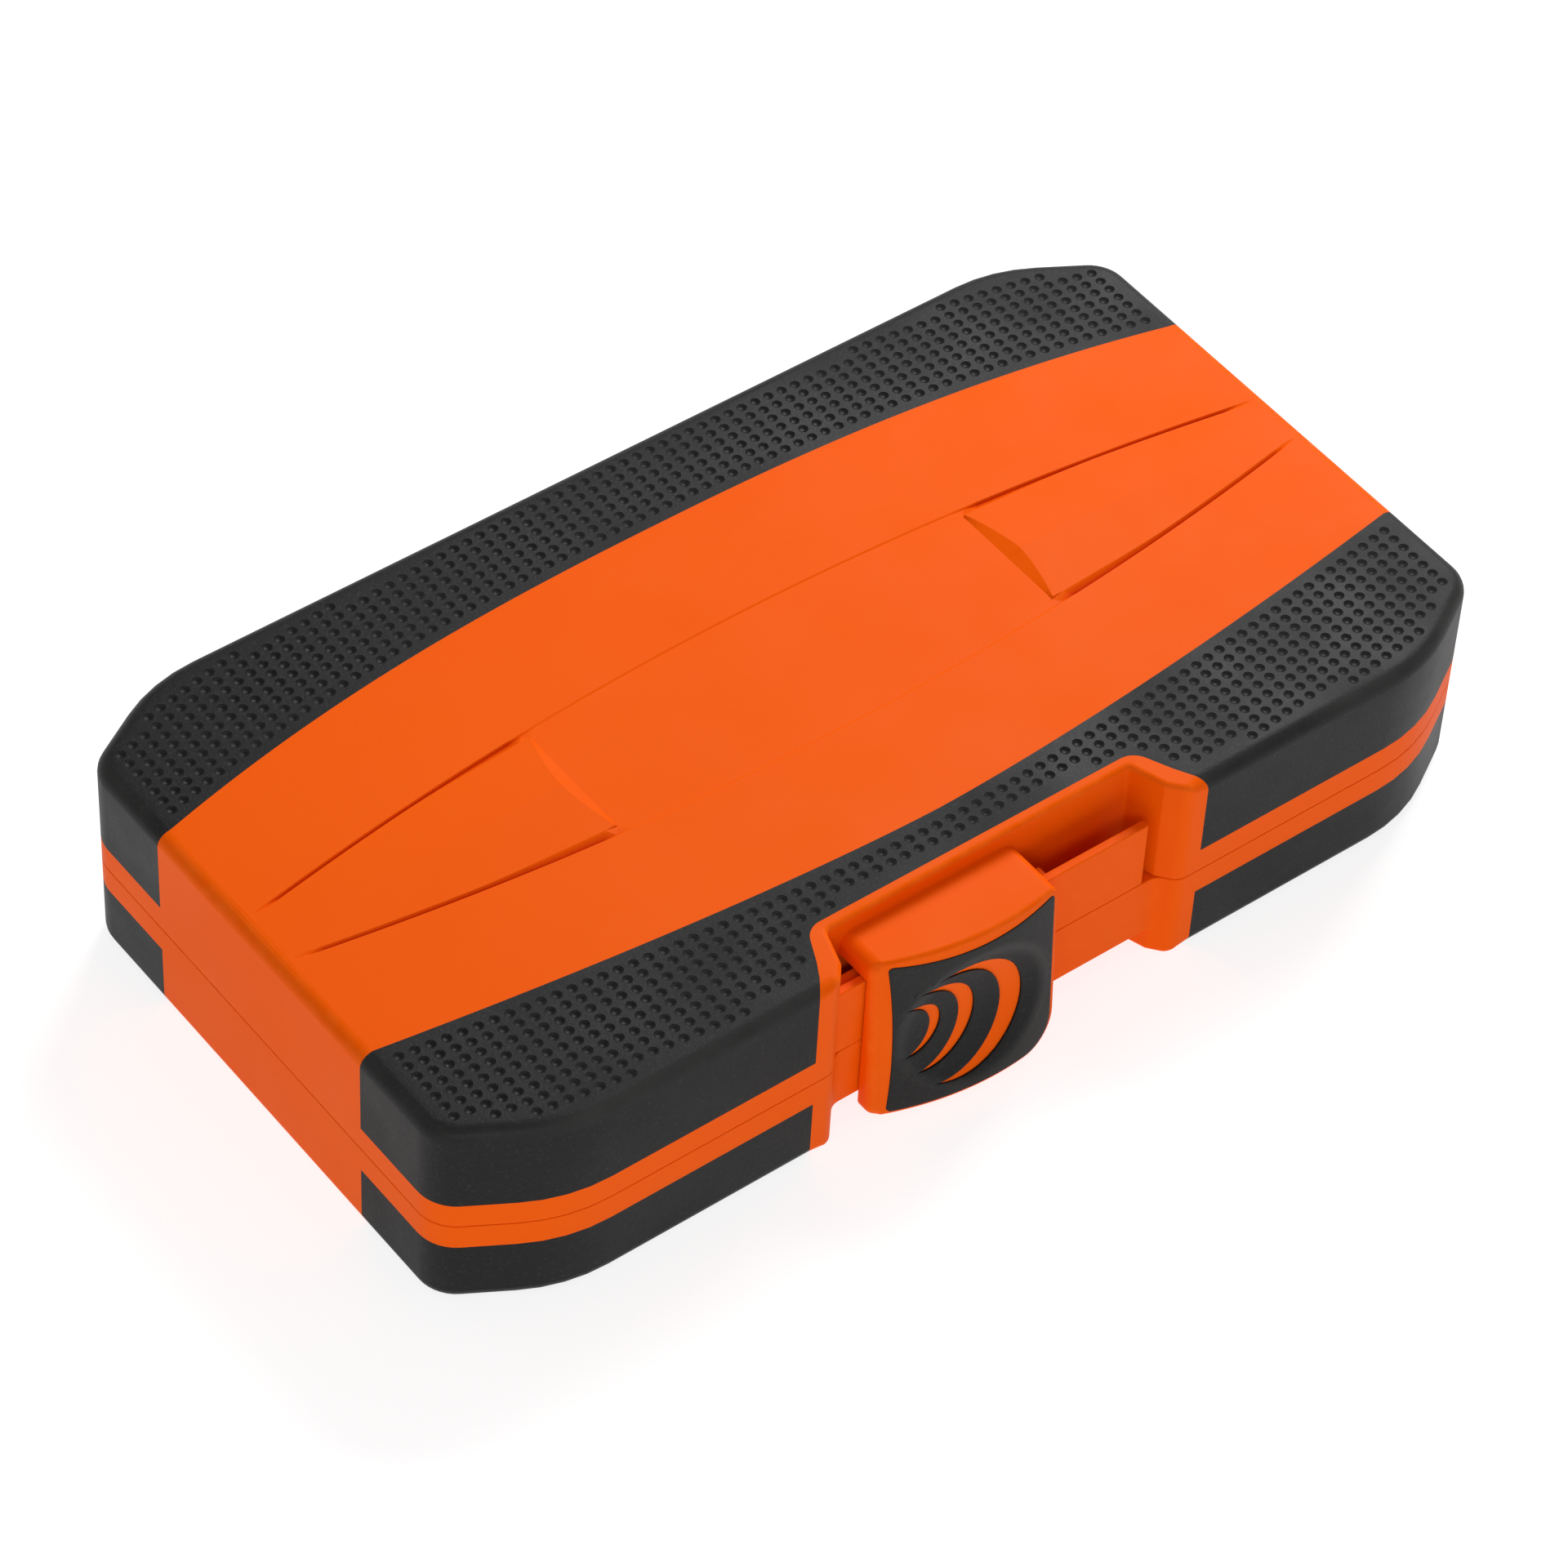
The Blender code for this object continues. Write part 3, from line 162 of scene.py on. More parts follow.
# loop and lines hold (x, y, height); gives the corners that were added and all the triangles
def fillCap(loop, lines=(), points=()):
    count = len(loop)
    corners = [Vector((p[0], p[1])) for p in loop]
    heights = [p[2] for p in loop]
    edges = []
    for line in lines:
        first = len(corners)
        corners += [Vector((p[0], p[1])) for p in line]
        for end in (first, len(corners) - 1):  # ends that meet the outline meet it exactly
            close = min(corners[:count], key=lambda c: (c - corners[end]).length)
            if (close - corners[end]).length < exact["join"]:
                corners[end] = close
        heights += [p[2] for p in line]
        edges += [(first + k, first + k + 1) for k in range(len(line) - 1)]
    corners += [Vector((p[0], p[1])) for p in points]
    heights += [p[2] for p in points]
    made, _, faces, origins, _, _ = delaunay_2d_cdt(corners, edges, [list(range(count))], 1, 1e-4)
    order, added = [], []
    for (x, y), source in zip(made, origins):
        held = min(source) if source else None
        if held is not None and held < count:
            order.append(held)
            continue
        order.append(count + len(added))
        if held is None:  # two lines crossed here
            height = min((hypot(x - c[0], y - c[1]), h) for c, h in zip(corners, heights))[1]
        else:
            height = heights[held]
        added.append((x, y, height))
    return added, [[order[k] for k in face] for face in faces]


class Skin:  # points, their outward arms, faces and the label of each face
    def __init__(self, count):
        self.points, self.normals, self.faces, self.labels, self.edgeWear = [], [], [], [], []
        self.count = count

    def row(self, points, normals, wearAndLight=0.0):
        self.top = len(self.points)
        self.points += [Vector(p) for p in points]
        self.normals += [Vector(n) for n in normals]
        self.edgeWear += [wearAndLight] * len(points)

    def rim(self):
        return [tuple(self.points[self.top + k]) for k in range(self.count)]


def rings(rows, count):  # the faces between rows of points that close on themselves
    faces = []
    for low in range(0, (rows - 1) * count, count):
        for k in range(count):
            after = (k + 1) % count
            faces.append([low + k, low + after, low + count + after, low + count + k])
    return faces


# rowHeights: (inset, height) pairs; then each edge rounds over up to capHeight(x, y)
def sweepSkin(loop, arms, rounds, rowHeights, capHeight, labelOf, slide=None, steps=6):
    count = len(loop)
    skin = Skin(count)
    slide = slide or [Vector((0, 0))] * count
    tops = [loop[k] - arms[k] * rounds[k] + slide[k] for k in range(count)]
    capZ = [capHeight(p.x, p.y) for p in tops]
    for inset, height in rowHeights:
        skin.row([(*(p - arm * inset), height) for p, arm in zip(loop, arms)],
                 [(arm.x, arm.y, 0.0) for arm in arms], 0.5 if inset else 0.0)
    for step in range(steps + 1):
        turn = pi / 2 * step / steps
        points, normals = [], []
        for k in range(count):
            place = loop[k] - arms[k] * rounds[k] * (1 - cos(turn)) + slide[k] * (1 - cos(turn))
            points.append((place.x, place.y, capZ[k] - rounds[k] * (1 - sin(turn))))
            normals.append((arms[k].x * cos(turn), arms[k].y * cos(turn), sin(turn)))
        skin.row(points, normals, sin(2 * turn))
    skin.faces = rings(len(rowHeights) + steps + 1, count)
    skin.labels = [labelOf(face // count, face % count) for face in range(len(skin.faces))]
    return skin


def capSkin(skin, lines, label, points=()):
    added, faces = fillCap(skin.rim(), lines, points)
    first = len(skin.points)
    skin.points += [Vector(p) for p in added]
    skin.normals += [Vector((0, 0, 1))] * len(added)
    skin.edgeWear += [0.0] * len(added)
    for face in faces:
        ids = [skin.top + k if k < skin.count else first + k - skin.count for k in face]
        centre = sum((skin.points[k] for k in ids), Vector()) / len(ids)
        skin.faces.append(ids)
        skin.labels.append(label(centre.x, centre.y))


def sinking(skin):  # corner(index, depth) makes each point of the skin, sunk by the depth, once
    made, points, wearAndLight = {}, [], []

    def corner(index, depth):
        if (index, depth) not in made:
            made[index, depth] = len(points)
            points.append(skin.points[index] - skin.normals[index] * depth)
            wearAndLight.append(skin.edgeWear[index])
        return made[index, depth]

    return corner, points, wearAndLight


def sidesOf(face):
    return [(a, face[(k + 1) % len(face)]) for k, a in enumerate(face)]


def sunkFaces(skin, depths):  # sinks each label by its depth, with a wall wherever the depth changes
    corner, points, wearAndLight = sinking(skin)
    faces, sides = [], {}
    for face, label in zip(skin.faces, skin.labels):
        depth = depths.get(label, 0.0)
        faces.append([corner(k, depth) for k in face])
        for a, b in sidesOf(face):
            sides.setdefault((min(a, b), max(a, b)), []).append((a, b, depth))
    for pair in sides.values():
        if len(pair) == 2 and pair[0][2] != pair[1][2]:
            a, b, depth = pair[0]
            other = pair[1][2]
            faces.append([corner(b, depth), corner(a, depth), corner(a, other), corner(b, other)])
    return points, faces, wearAndLight


def inlayFaces(skin, label, thickness, rise=0.0, skipCap=False):  # a closed sheet where the label is
    corner, points, wearAndLight = sinking(skin)
    faces, border = [], {}
    for face, own in zip(skin.faces, skin.labels):
        if own != label:
            continue
        if not (skipCap and all(k >= skin.top for k in face)):
            faces.append([corner(k, -rise) for k in face])
        faces.append([corner(k, thickness) for k in reversed(face)])
        for a, b in sidesOf(face):
            border.setdefault((min(a, b), max(a, b)), []).append((a, b))
    for pair in border.values():
        if len(pair) == 1:
            a, b = pair[0]
            faces.append([corner(b, -rise), corner(a, -rise), corner(a, thickness), corner(b, thickness)])
    return points, faces, wearAndLight


def upright(p):
    return tuple(p)


def flipped(p):  # the base is worked upside down
    return (p[0], p[1], -p[2])


def facing(p):  # the latch is worked lying on its back
    return (p[0], -p[2], p[1])


def sideways(p):  # knuckles are worked in the YZ plane
    return (p[2], p[0], p[1])


def placed(name, data):
    item = bpy.data.objects.new(name, data)
    bpy.context.collection.objects.link(item)
    return item


def objectFrom(name, shape):
    mesh = bpy.data.meshes.new(name)
    shape.to_mesh(mesh)
    shape.free()
    return placed(name, mesh)


# parts: (points, faces, wear and painted light) in millimetres, welded, turned outwards and shaded as one
# piece
def meshPiece(name, parts, place=upright, sharp=35.0, bevel=None, weighted=True):
    shape = bmesh.new()
    # per point: edge wear, painted highlights on dimple and dish rims, and painted groove shade as negative
    # values
    layer = shape.verts.layers.float.new("edgeWear")
    for points, faces, wearAndLight in parts:
        corners = []
        for point, wearAndLightValue in zip(points, wearAndLight):
            vert = shape.verts.new(Vector(place(point)) * mm)
            vert[layer] = wearAndLightValue
            corners.append(vert)
        for face in faces:
            if len(set(face)) > 2:
                shape.faces.new([corners[k] for k in face])
    bmesh.ops.remove_doubles(shape, verts=shape.verts, dist=exact["weld"] * mm)
    bmesh.ops.dissolve_degenerate(shape, edges=shape.edges, dist=exact["thin"] * mm)
    bmesh.ops.recalc_face_normals(shape, faces=shape.faces)
    if bevel:
        softened(shape, *bevel, 0.6)
        bmesh.ops.recalc_face_normals(shape, faces=shape.faces)
    bmesh.ops.triangulate(shape, faces=[f for f in shape.faces if len(f.verts) > 4])
    item = objectFrom(name, shape)
    print("  ", name, len(item.data.polygons), "faces")
    return shaded(item, sharp, weighted)


def softened(shape, width, least, profile):  # bevels every edge that turns by more than least degrees
    edges = [e for e in shape.edges if len(e.link_faces) == 2 and e.calc_face_angle(0) > radians(least)]
    bmesh.ops.bevel(shape, geom=edges, offset=width * mm, segments=2, profile=profile,
                    affect="EDGES", clamp_overlap=True)


def shaded(item, sharp=35.0, weighted=True):  # smooth faces, sharp creases, flats kept even
    shape = bmesh.new()
    shape.from_mesh(item.data)
    for face in shape.faces:
        face.smooth = True
    for edge in shape.edges:
        edge.smooth = len(edge.link_faces) == 2 and edge.calc_face_angle(0) < radians(sharp)
    shape.to_mesh(item.data)
    shape.free()
    if weighted:
        weigh = item.modifiers.new("even shading", "WEIGHTED_NORMAL")
        weigh.keep_sharp = True
        weigh.weight = 50
    return item


def roundedPrism(outline, low, high, edge, steps=3):  # anticlockwise outline, all edges rounded
    arms = outwards(outline)
    count = len(outline)
    turns = [pi / 2 * k / steps for k in range(steps + 1)]
    rows = [(edge * (1 - sin(t)), low + edge * (1 - cos(t))) for t in turns]
    rows += [(edge * (1 - cos(t)), high - edge * (1 - sin(t))) for t in turns]
    points, wearAndLight = [], []
    for inset, height in rows:
        points += [Vector((*(p - a * inset), height)) for p, a in zip(outline, arms)]
        wearAndLight += [1.0 if 0 < inset < edge else 0.3] * count
    _, cap = fillCap([tuple(p) for p in points[:count]])
    top = len(points) - count
    faces = rings(len(rows), count) + [f[::-1] for f in cap] + [[top + k for k in f] for f in cap]
    return points, faces, wearAndLight


def meshNow(item):  # what the modifiers make, as a plain mesh
    bpy.context.view_layer.update()
    mesh = bpy.data.meshes.new_from_object(item.evaluated_get(bpy.context.evaluated_depsgraph_get()))
    item.modifiers.clear()
    return mesh


def booleanWith(item, other, operation):
    step = item.modifiers.new("cut", "BOOLEAN")
    step.operation = operation
    step.solver = "EXACT"
    step.object = other
    old, item.data = item.data, meshNow(item)
    bpy.data.meshes.remove(old)
    bpy.data.objects.remove(other)
    return item


made = set()  # the frame's nodes that a piece here stands in for


def finishPiece(item, body, slot, *replaced):
    item.data.materials.clear()
    item.data.materials.append(finishes[slot])
    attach(item, body)
    if replaced:
        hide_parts(*replaced)
        made.update(replaced)
    return item


def newMaterial(name):
    material = bpy.data.materials.new(name)
    material.use_nodes = True
    tree = material.node_tree
    return material, tree, tree.nodes["Principled BSDF"]


def link(tree, source, target):
    tree.links.new(source, target)


def noiseOf(tree, scale, detail=3.0, rough=0.55, stretch=None):
    place = tree.nodes.new("ShaderNodeTexCoord").outputs["Object"]
    if stretch:
        turn = tree.nodes.new("ShaderNodeMapping")
        turn.inputs["Scale"].default_value = stretch
        link(tree, place, turn.inputs["Vector"])
        place = turn.outputs["Vector"]
    noise = tree.nodes.new("ShaderNodeTexNoise")
    for socket, value in (("Scale", scale), ("Detail", detail), ("Roughness", rough)):
        noise.inputs[socket].default_value = value
    link(tree, place, noise.inputs["Vector"])
    return noise.outputs["Fac"]


def ranged(tree, source, low, high, fromLow=0.3, fromHigh=0.7):
    step = tree.nodes.new("ShaderNodeMapRange")
    for socket, value in (("From Min", fromLow), ("From Max", fromHigh), ("To Min", low), ("To Max", high)):
        step.inputs[socket].default_value = value
    link(tree, source, step.inputs["Value"])
    return step.outputs["Result"]


def fed(tree, socket, value):  # a socket takes a colour, a number or another node's output
    if isinstance(value, tuple):
        socket.default_value = (*value, 1)
    elif isinstance(value, float):
        socket.default_value = value
    else:
        link(tree, value, socket)


def mixed(tree, factor, first, second):
    mix = tree.nodes.new("ShaderNodeMix")
    mix.data_type = "RGBA"
    fed(tree, mix.inputs[6], first)
    fed(tree, mix.inputs[7], second)
    link(tree, factor, mix.inputs[0])
    return mix.outputs[2]


def product(tree, first, second):
    step = tree.nodes.new("ShaderNodeMath")
    step.operation = "MULTIPLY"
    fed(tree, step.inputs[0], first)
    fed(tree, step.inputs[1], second)
    return step.outputs[0]


def bumped(tree, heights, shader):  # heights: (source, strength, distance in millimetres)
    last = None
    for source, strength, distance in heights:
        bump = tree.nodes.new("ShaderNodeBump")
        bump.inputs["Strength"].default_value = strength
        bump.inputs["Distance"].default_value = distance * mm
        link(tree, source, bump.inputs["Height"])
        if last:
            link(tree, last, bump.inputs["Normal"])
        last = bump.outputs["Normal"]
    link(tree, last, shader.inputs["Normal"])


def wearAndLightAttribute(tree):
    wearAndLightValue = tree.nodes.new("ShaderNodeAttribute")
    wearAndLightValue.attribute_name = "edgeWear"
    return wearAndLightValue.outputs["Fac"]


# groove: a painted shade colour, laid into the panel grooves
plasticLook = {"colour": (0.92, 0.112, 0.0006), "deep": (0.87, 0.094, 0.0005), "rubbed": (0.95, 0.15, 0.012),
               "groove": (0.52, 0.012, 0.0003), "roughLow": 0.42, "roughHigh": 0.52, "specular": 0.035,
               "grainScale": 2600.0, "grainHeight": 0.012, "flowScale": 16.0, "flowHeight": 0.03,
               "scuffScale": 420.0, "shineScale": 60.0, "depthShare": 0.06, "depthScale": 0.8,
               "depthColours": (1.0, 0.35, 0.1)}


def orangePlastic():
    material, tree, shader = newMaterial("satin orange plastic")
    look = plasticLook
    flow = noiseOf(tree, look["flowScale"], 2.0)
    grain = noiseOf(tree, look["grainScale"], 2.0)
    scuff = noiseOf(tree, look["scuffScale"], 4.0)
    shine = noiseOf(tree, look["shineScale"], 5.0)
    body = mixed(tree, ranged(tree, flow, 0.0, 0.45), look["colour"], look["deep"])
    edge = product(tree, wearAndLightAttribute(tree), ranged(tree, scuff, 0.0, 0.55, 0.42, 0.72))
    body = mixed(tree, edge, body, look["rubbed"])
    # painted shade: negative attribute values darken the plastic towards the groove colour in the panel
    # grooves
    paintedGrooveShade = ranged(tree, wearAndLightAttribute(tree), 0.0, 0.85, 0.0, -1.0)
    link(tree, mixed(tree, paintedGrooveShade, body, look["groove"]), shader.inputs["Base Color"])
    link(tree, ranged(tree, shine, look["roughLow"], look["roughHigh"]), shader.inputs["Roughness"])
    shader.inputs["Specular IOR Level"].default_value = look["specular"]
    shader.inputs["Subsurface Weight"].default_value = look["depthShare"]
    shader.inputs["Subsurface Radius"].default_value = look["depthColours"]
    shader.inputs["Subsurface Scale"].default_value = look["depthScale"] * mm
    bumped(tree, [(grain, 0.35, look["grainHeight"]), (flow, 0.2, look["flowHeight"])], shader)
    return material


# rubbed: lighter rubber for random specks and worn edges; on rims it also serves as a painted highlight
rubberLook = {"colour": (0.005, 0.005, 0.005), "dusty": (0.009, 0.0089, 0.0087),
              "rubbed": (0.042, 0.041, 0.040), "roughLow": 0.42, "roughHigh": 0.56, "specular": 0.15,
              "grainScale": 2400.0, "grainHeight": 0.06, "cloudScale": 45.0, "speckScale": 1500.0}


def gripRubber():
    material, tree, shader = newMaterial("moulded grip rubber")
    look = rubberLook
    grain = noiseOf(tree, look["grainScale"], 4.0, 0.65)
    cloud = noiseOf(tree, look["cloudScale"], 4.0)
    speck = noiseOf(tree, look["speckScale"], 2.0)
    body = mixed(tree, ranged(tree, cloud, 0.0, 0.5), look["colour"], look["dusty"])
    body = mixed(tree, ranged(tree, speck, 0.0, 0.3, 0.55, 0.75), body, look["rubbed"])
    # lighter rubber where the attribute is high: worn grip edges, lifted further as a painted highlight along
    # them, plus painted highlights on dimple rims and the pad's dish rim
    edge = product(tree, wearAndLightAttribute(tree), ranged(tree, cloud, 0.35, 0.95, 0.35, 0.65))
    link(tree, mixed(tree, edge, body, look["rubbed"]), shader.inputs["Base Color"])
    link(tree, ranged(tree, cloud, look["roughLow"], look["roughHigh"]), shader.inputs["Roughness"])
    shader.inputs["Specular IOR Level"].default_value = look["specular"]
    bumped(tree, [(grain, 0.7, look["grainHeight"])], shader)
    return material


trayLook = {"colour": (0.016, 0.016, 0.017), "dusty": (0.035, 0.034, 0.034), "roughLow": 0.45,
            "roughHigh": 0.62, "grainScale": 1400.0, "grainHeight": 0.05, "cloudScale": 30.0}


def trayPlastic():
    material, tree, shader = newMaterial("grained tray plastic")
    look = trayLook
    grain = noiseOf(tree, look["grainScale"], 5.0, 0.6)
    cloud = noiseOf(tree, look["cloudScale"])
    body = mixed(tree, ranged(tree, cloud, 0.0, 0.6), look["colour"], look["dusty"])
    link(tree, body, shader.inputs["Base Color"])
    link(tree, ranged(tree, cloud, look["roughLow"], look["roughHigh"]), shader.inputs["Roughness"])
    bumped(tree, [(grain, 0.6, look["grainHeight"])], shader)
    return material


steelLooks = {"satin chrome": {"bright": (0.80, 0.80, 0.81), "shade": (0.66, 0.66, 0.68), "roughLow": 0.16,
                               "roughHigh": 0.3, "brushing": (1.0, 1.0, 0.15)},
              "phosphated tool steel": {"bright": (0.33, 0.33, 0.34), "shade": (0.22, 0.22, 0.23),
                                        "roughLow": 0.34, "roughHigh": 0.5, "brushing": (1.0, 1.0, 1.0)}}
steelGrain = {"fineScale": 900.0, "fineHeight": 0.006, "cloudScale": 140.0}


def satinSteel(name):
    material, tree, shader = newMaterial(name)
    look = steelLooks[name]
    fine = noiseOf(tree, steelGrain["fineScale"], 4.0, 0.5, look["brushing"])
    cloud = noiseOf(tree, steelGrain["cloudScale"], 4.0)
    body = mixed(tree, ranged(tree, cloud, 0.0, 1.0), look["bright"], look["shade"])
    link(tree, body, shader.inputs["Base Color"])
    link(tree, ranged(tree, cloud, look["roughLow"], look["roughHigh"]), shader.inputs["Roughness"])
    shader.inputs["Metallic"].default_value = 1.0
    bumped(tree, [(fine, 0.25, steelGrain["fineHeight"])], shader)
    return material


orange = orangePlastic()
rubber = gripRubber()
finishes = {"orange_plastic": orange, "black_rubber": rubber, "dark_plastic": trayPlastic(),
            "satin_chrome": satinSteel("satin chrome"), "tool_steel": satinSteel("phosphated tool steel")}
print("materials ready")


caseShape = {"cornerAlong": 16.0, "cornerAcross": 9.4, "endBend": 6.5, "sideBend": 26.0,
             "edgeRound": 2.2, "recessRound": 0.9, "parting": 16.0, "partingGap": 0.05,
             "lidBand": 20.4, "baseBand": 11.6, "gripEnd": 24.7, "backRise": 10.0, "frontRise": 8.8,
             "backPower": 2.4, "frontPower": 1.6, "gripThickness": 1.4, "wall": 3.6, "roof": 3.0,
             "roofBend": 1.6, "pocketSlack": 0.05, "lip": [(0.18, 0.0), (0.05, 0.05), (0.0, 0.18)],
             "innerLip": [(-0.3, 0.0), (-0.08, 0.08), (0.0, 0.35)]}  # lips: inset and rise
recess = {"back": 8.65, "bend": 2.9, "backHalf": 26.9, "bendHalf": 28.8, "mouthHalf": 31.2, "from": -40.0,
          "rimHalf": 34.65, "rimBack": 10.45, "rimBackHalf": 29.0, "rimFoot": (33.12, 2.2),
          "rimShoulder": (31.75, -46.6), "wall": 2.0, "bulgeFront": 30.63,
          "bulgeBack": 28.9}
mouth = {"start": 31.3, "knee": 32.6, "end": 42.0, "kneeShift": 0.9, "climb": 0.3, "most": 1.5,
         "depth": 0.8, "roundFrom": 30.2, "roundOver": 4.0}  # how the recess's mouth leans along the case

recessBack = front + recess["back"]
across = halfWidth - caseShape["cornerAcross"]
along = halfLength - caseShape["cornerAlong"]
plainCorners = [(halfLength, -across, caseShape["endBend"]), (halfLength, across, caseShape["endBend"]),
                (along, halfWidth, caseShape["sideBend"]), (-along, halfWidth, caseShape["sideBend"]),
                (-halfLength, across, caseShape["endBend"]), (-halfLength, -across, caseShape["endBend"]),
                (-along, front, caseShape["sideBend"]), (along, front, caseShape["sideBend"])]
notch = [(-recess["mouthHalf"], front, 3.0), (-recess["bendHalf"], front + recess["bend"], 1.0),
         (-recess["backHalf"], recessBack, 0.8)]
caseMarks = [(side * halfLength, end * caseShape["gripEnd"]) for side in (-1, 1) for end in (-1, 1)]
caseMarks += [(side * recess["rimHalf"], front) for side in (-1, 1)]
caseLoop = filletPath(plainCorners[:-1] + notch + mirrored(notch) + plainCorners[-1:])
caseLoop = withMarks(caseLoop, caseMarks)
caseArms = outwards(caseLoop)
caseRounds, caseSlide = [], []
for point in caseLoop:
    reach = abs(point.x)
    grow = smooth((reach - mouth["roundFrom"]) / mouth["roundOver"]) if point.y < recess["from"] else 1.0
    caseRounds.append(caseShape["recessRound"] + (caseShape["edgeRound"] - caseShape["recessRound"]) * grow)
    shift = 0.0
    if point.y < front + mouth["depth"] and reach < mouth["end"]:
        toKnee = (reach - mouth["start"]) / (mouth["knee"] - mouth["start"]) * mouth["kneeShift"]
        pastKnee = mouth["kneeShift"] + (reach - mouth["knee"]) * mouth["climb"]
        toEnd = (mouth["end"] - reach) / (mouth["end"] - recess["rimHalf"]) * mouth["most"]
        shift = max(0.0, min(toKnee, pastKnee, toEnd))
    caseSlide.append(Vector((-shift if point.x > 0 else shift, 0)))

capReach = halfLength - caseShape["edgeRound"]
stations = [capReach * (2 * k / 64 - 1) for k in range(65)]


def arcY(x, isFront):  # half width of the plastic field between the grips
    side = "front" if isFront else "back"
    share = min(abs(x) / capReach, 1.0) ** caseShape[side + "Power"]
    return caseShape["gripEnd"] + caseShape[side + "Rise"] * (1 - share)


rimHalfPath = [(recess["rimFoot"][0], front + recess["rimFoot"][1], 0.0), (*recess["rimShoulder"], 5.0),
               (recess["rimBackHalf"], front + recess["rimBack"], 3.4)]
rimPath = filletPath(rimHalfPath + mirrored(rimHalfPath))
rimEnds = [point - arm * size + shift
           for point, arm, size, shift in zip(caseLoop, caseArms, caseRounds, caseSlide)
           if abs(abs(point.x) - recess["rimHalf"]) < 0.01 and point.y < recess["from"]]
rimRight = max(rimEnds, key=lambda p: p.x)
rimLeft = min(rimEnds, key=lambda p: p.x)
rimPath[0], rimPath[-1] = rimRight, rimLeft
rimArea = rimPath + [Vector((rimLeft.x, front - 5)), Vector((rimRight.x, front - 5))]


def capLabel(x, y):  # 0 plastic, 1 front grip, 2 back grip
    if y > arcY(x, False):
        return 2
    return 1 if y < -arcY(x, True) and not inside(x, y, rimArea) else 0


def wallLabel(row, index):
    middle = (caseLoop[index] + caseLoop[(index + 1) % len(caseLoop)]) / 2
    atRecess = middle.y < recess["from"] and abs(middle.x) < recess["rimHalf"] - 0.01
    if row < 3 or atRecess or abs(middle.y) < caseShape["gripEnd"]:
        return 0
    return 2 if middle.y > 0 else 1


def halfEdge(isLid):
    return caseShape["partingGap"] + (caseShape["parting"] if isLid else -caseShape["parting"])


def halfSkin(isLid):
    edge, face = halfEdge(isLid), caseTop if isLid else 0.0
    band = caseShape["lidBand"] if isLid else -caseShape["baseBand"]
    rows = [(inset, edge + rise) for inset, rise in caseShape["lip"]] + [(0.0, band)]
    return sweepSkin(caseLoop, caseArms, caseRounds, rows, lambda x, y: face, wallLabel, caseSlide)


def gripLines(face):
    lines = [[(x, arcY(x, False), face) for x in stations], [(x, -arcY(x, True), face) for x in stations]]
    return lines + [[(p.x, p.y, face) for p in rimPath]]


panel = {"start": 39.0, "end": 90.0, "rise": 0.76, "sideRise": 0.2, "scoop": 2.0, "strip": 0.14, "wall": 0.25,
         "innerGap": 1.35, "outerGap": 0.55, "spread": 24.0, "creaseHalf": 13.3, "creaseFall": 0.00103,
         "creaseFade": 84.0, "groove": 0.46, "grooveOut": 0.16, "grooveIn": 0.12}


def creaseY(x):
    return panel["creaseHalf"] - panel["creaseFall"] * x * x


def panelHalf(x):
    spread = smooth((x - panel["start"]) / panel["spread"])
    return creaseY(x) - panel["innerGap"] * (1 - spread) - panel["outerGap"] * spread


def panelLines():
    lines = []
    start, end, strip = panel["start"], panel["end"], caseTop - panel["strip"]
    for side in (-1, 1):  # the creases: a lip and a groove beside it
        for shift, drop in ((panel["grooveOut"], 0.0), (-panel["grooveIn"], 1.0)):
            line = []
            for k in range(73):
                x = end * (k / 36 - 1)
                fade = 1 - smooth((abs(x) - panel["creaseFade"]) / (end - panel["creaseFade"]))
                inPanel = smooth((abs(x) - start) / 3.0)
                depth = (panel["strip"] * (1 - inPanel) + panel["groove"] * inPanel) * drop * fade
                line.append((x, side * (creaseY(x) + shift), caseTop - depth))
            lines.append(line)
    for way in (-1, 1):
        for side in (-1, 1):  # the long edges
            line = []
            for k in range(25):
                x = start + (end - start) * k / 24
                height = caseTop + panel["sideRise"] * (1 - k / 24) if k else strip
                line.append((way * x, side * panelHalf(x), height))
            lines.append(line)
        ridge, foot, brow = [], [], []
        browEnd = start + panel["wall"] + panel["scoop"]
        for k in range(13):
            x = browEnd + (end - 0.05 - browEnd) * k / 12
            ridge.append((way * x, 0.0, caseTop + panel["rise"] * (1 - k / 12) + 0.02))
        for k in range(21):  # the hollowed inner wall
            share = k / 10 - 1
            y = panelHalf(start) * share
            lift = 1 - abs(share) ** 1.6
            foot.append((way * start, y, strip))
            height = panel["sideRise"] + (panel["rise"] * 0.98 - panel["sideRise"]) * (1 - abs(share))
            brow.append((way * (start + panel["wall"] + panel["scoop"] * lift), y * 0.985, caseTop + height))
        lines += [ridge, foot, brow]
    return lines


def lidSharp(item):  # keeps the panels' walls, ridges and creases crisp
    shape = bmesh.new()
    shape.from_mesh(item.data)
    for edge in shape.edges:
        low = min(vert.co.z for vert in edge.verts) / mm
        reach = max(abs(vert.co.y) for vert in edge.verts) / mm
        if low > caseTop - 0.6 and reach < panel["creaseHalf"] + 1 and edge.calc_face_angle(0) > radians(3.0):
            edge.smooth = False
    shape.to_mesh(item.data)
    shape.free()


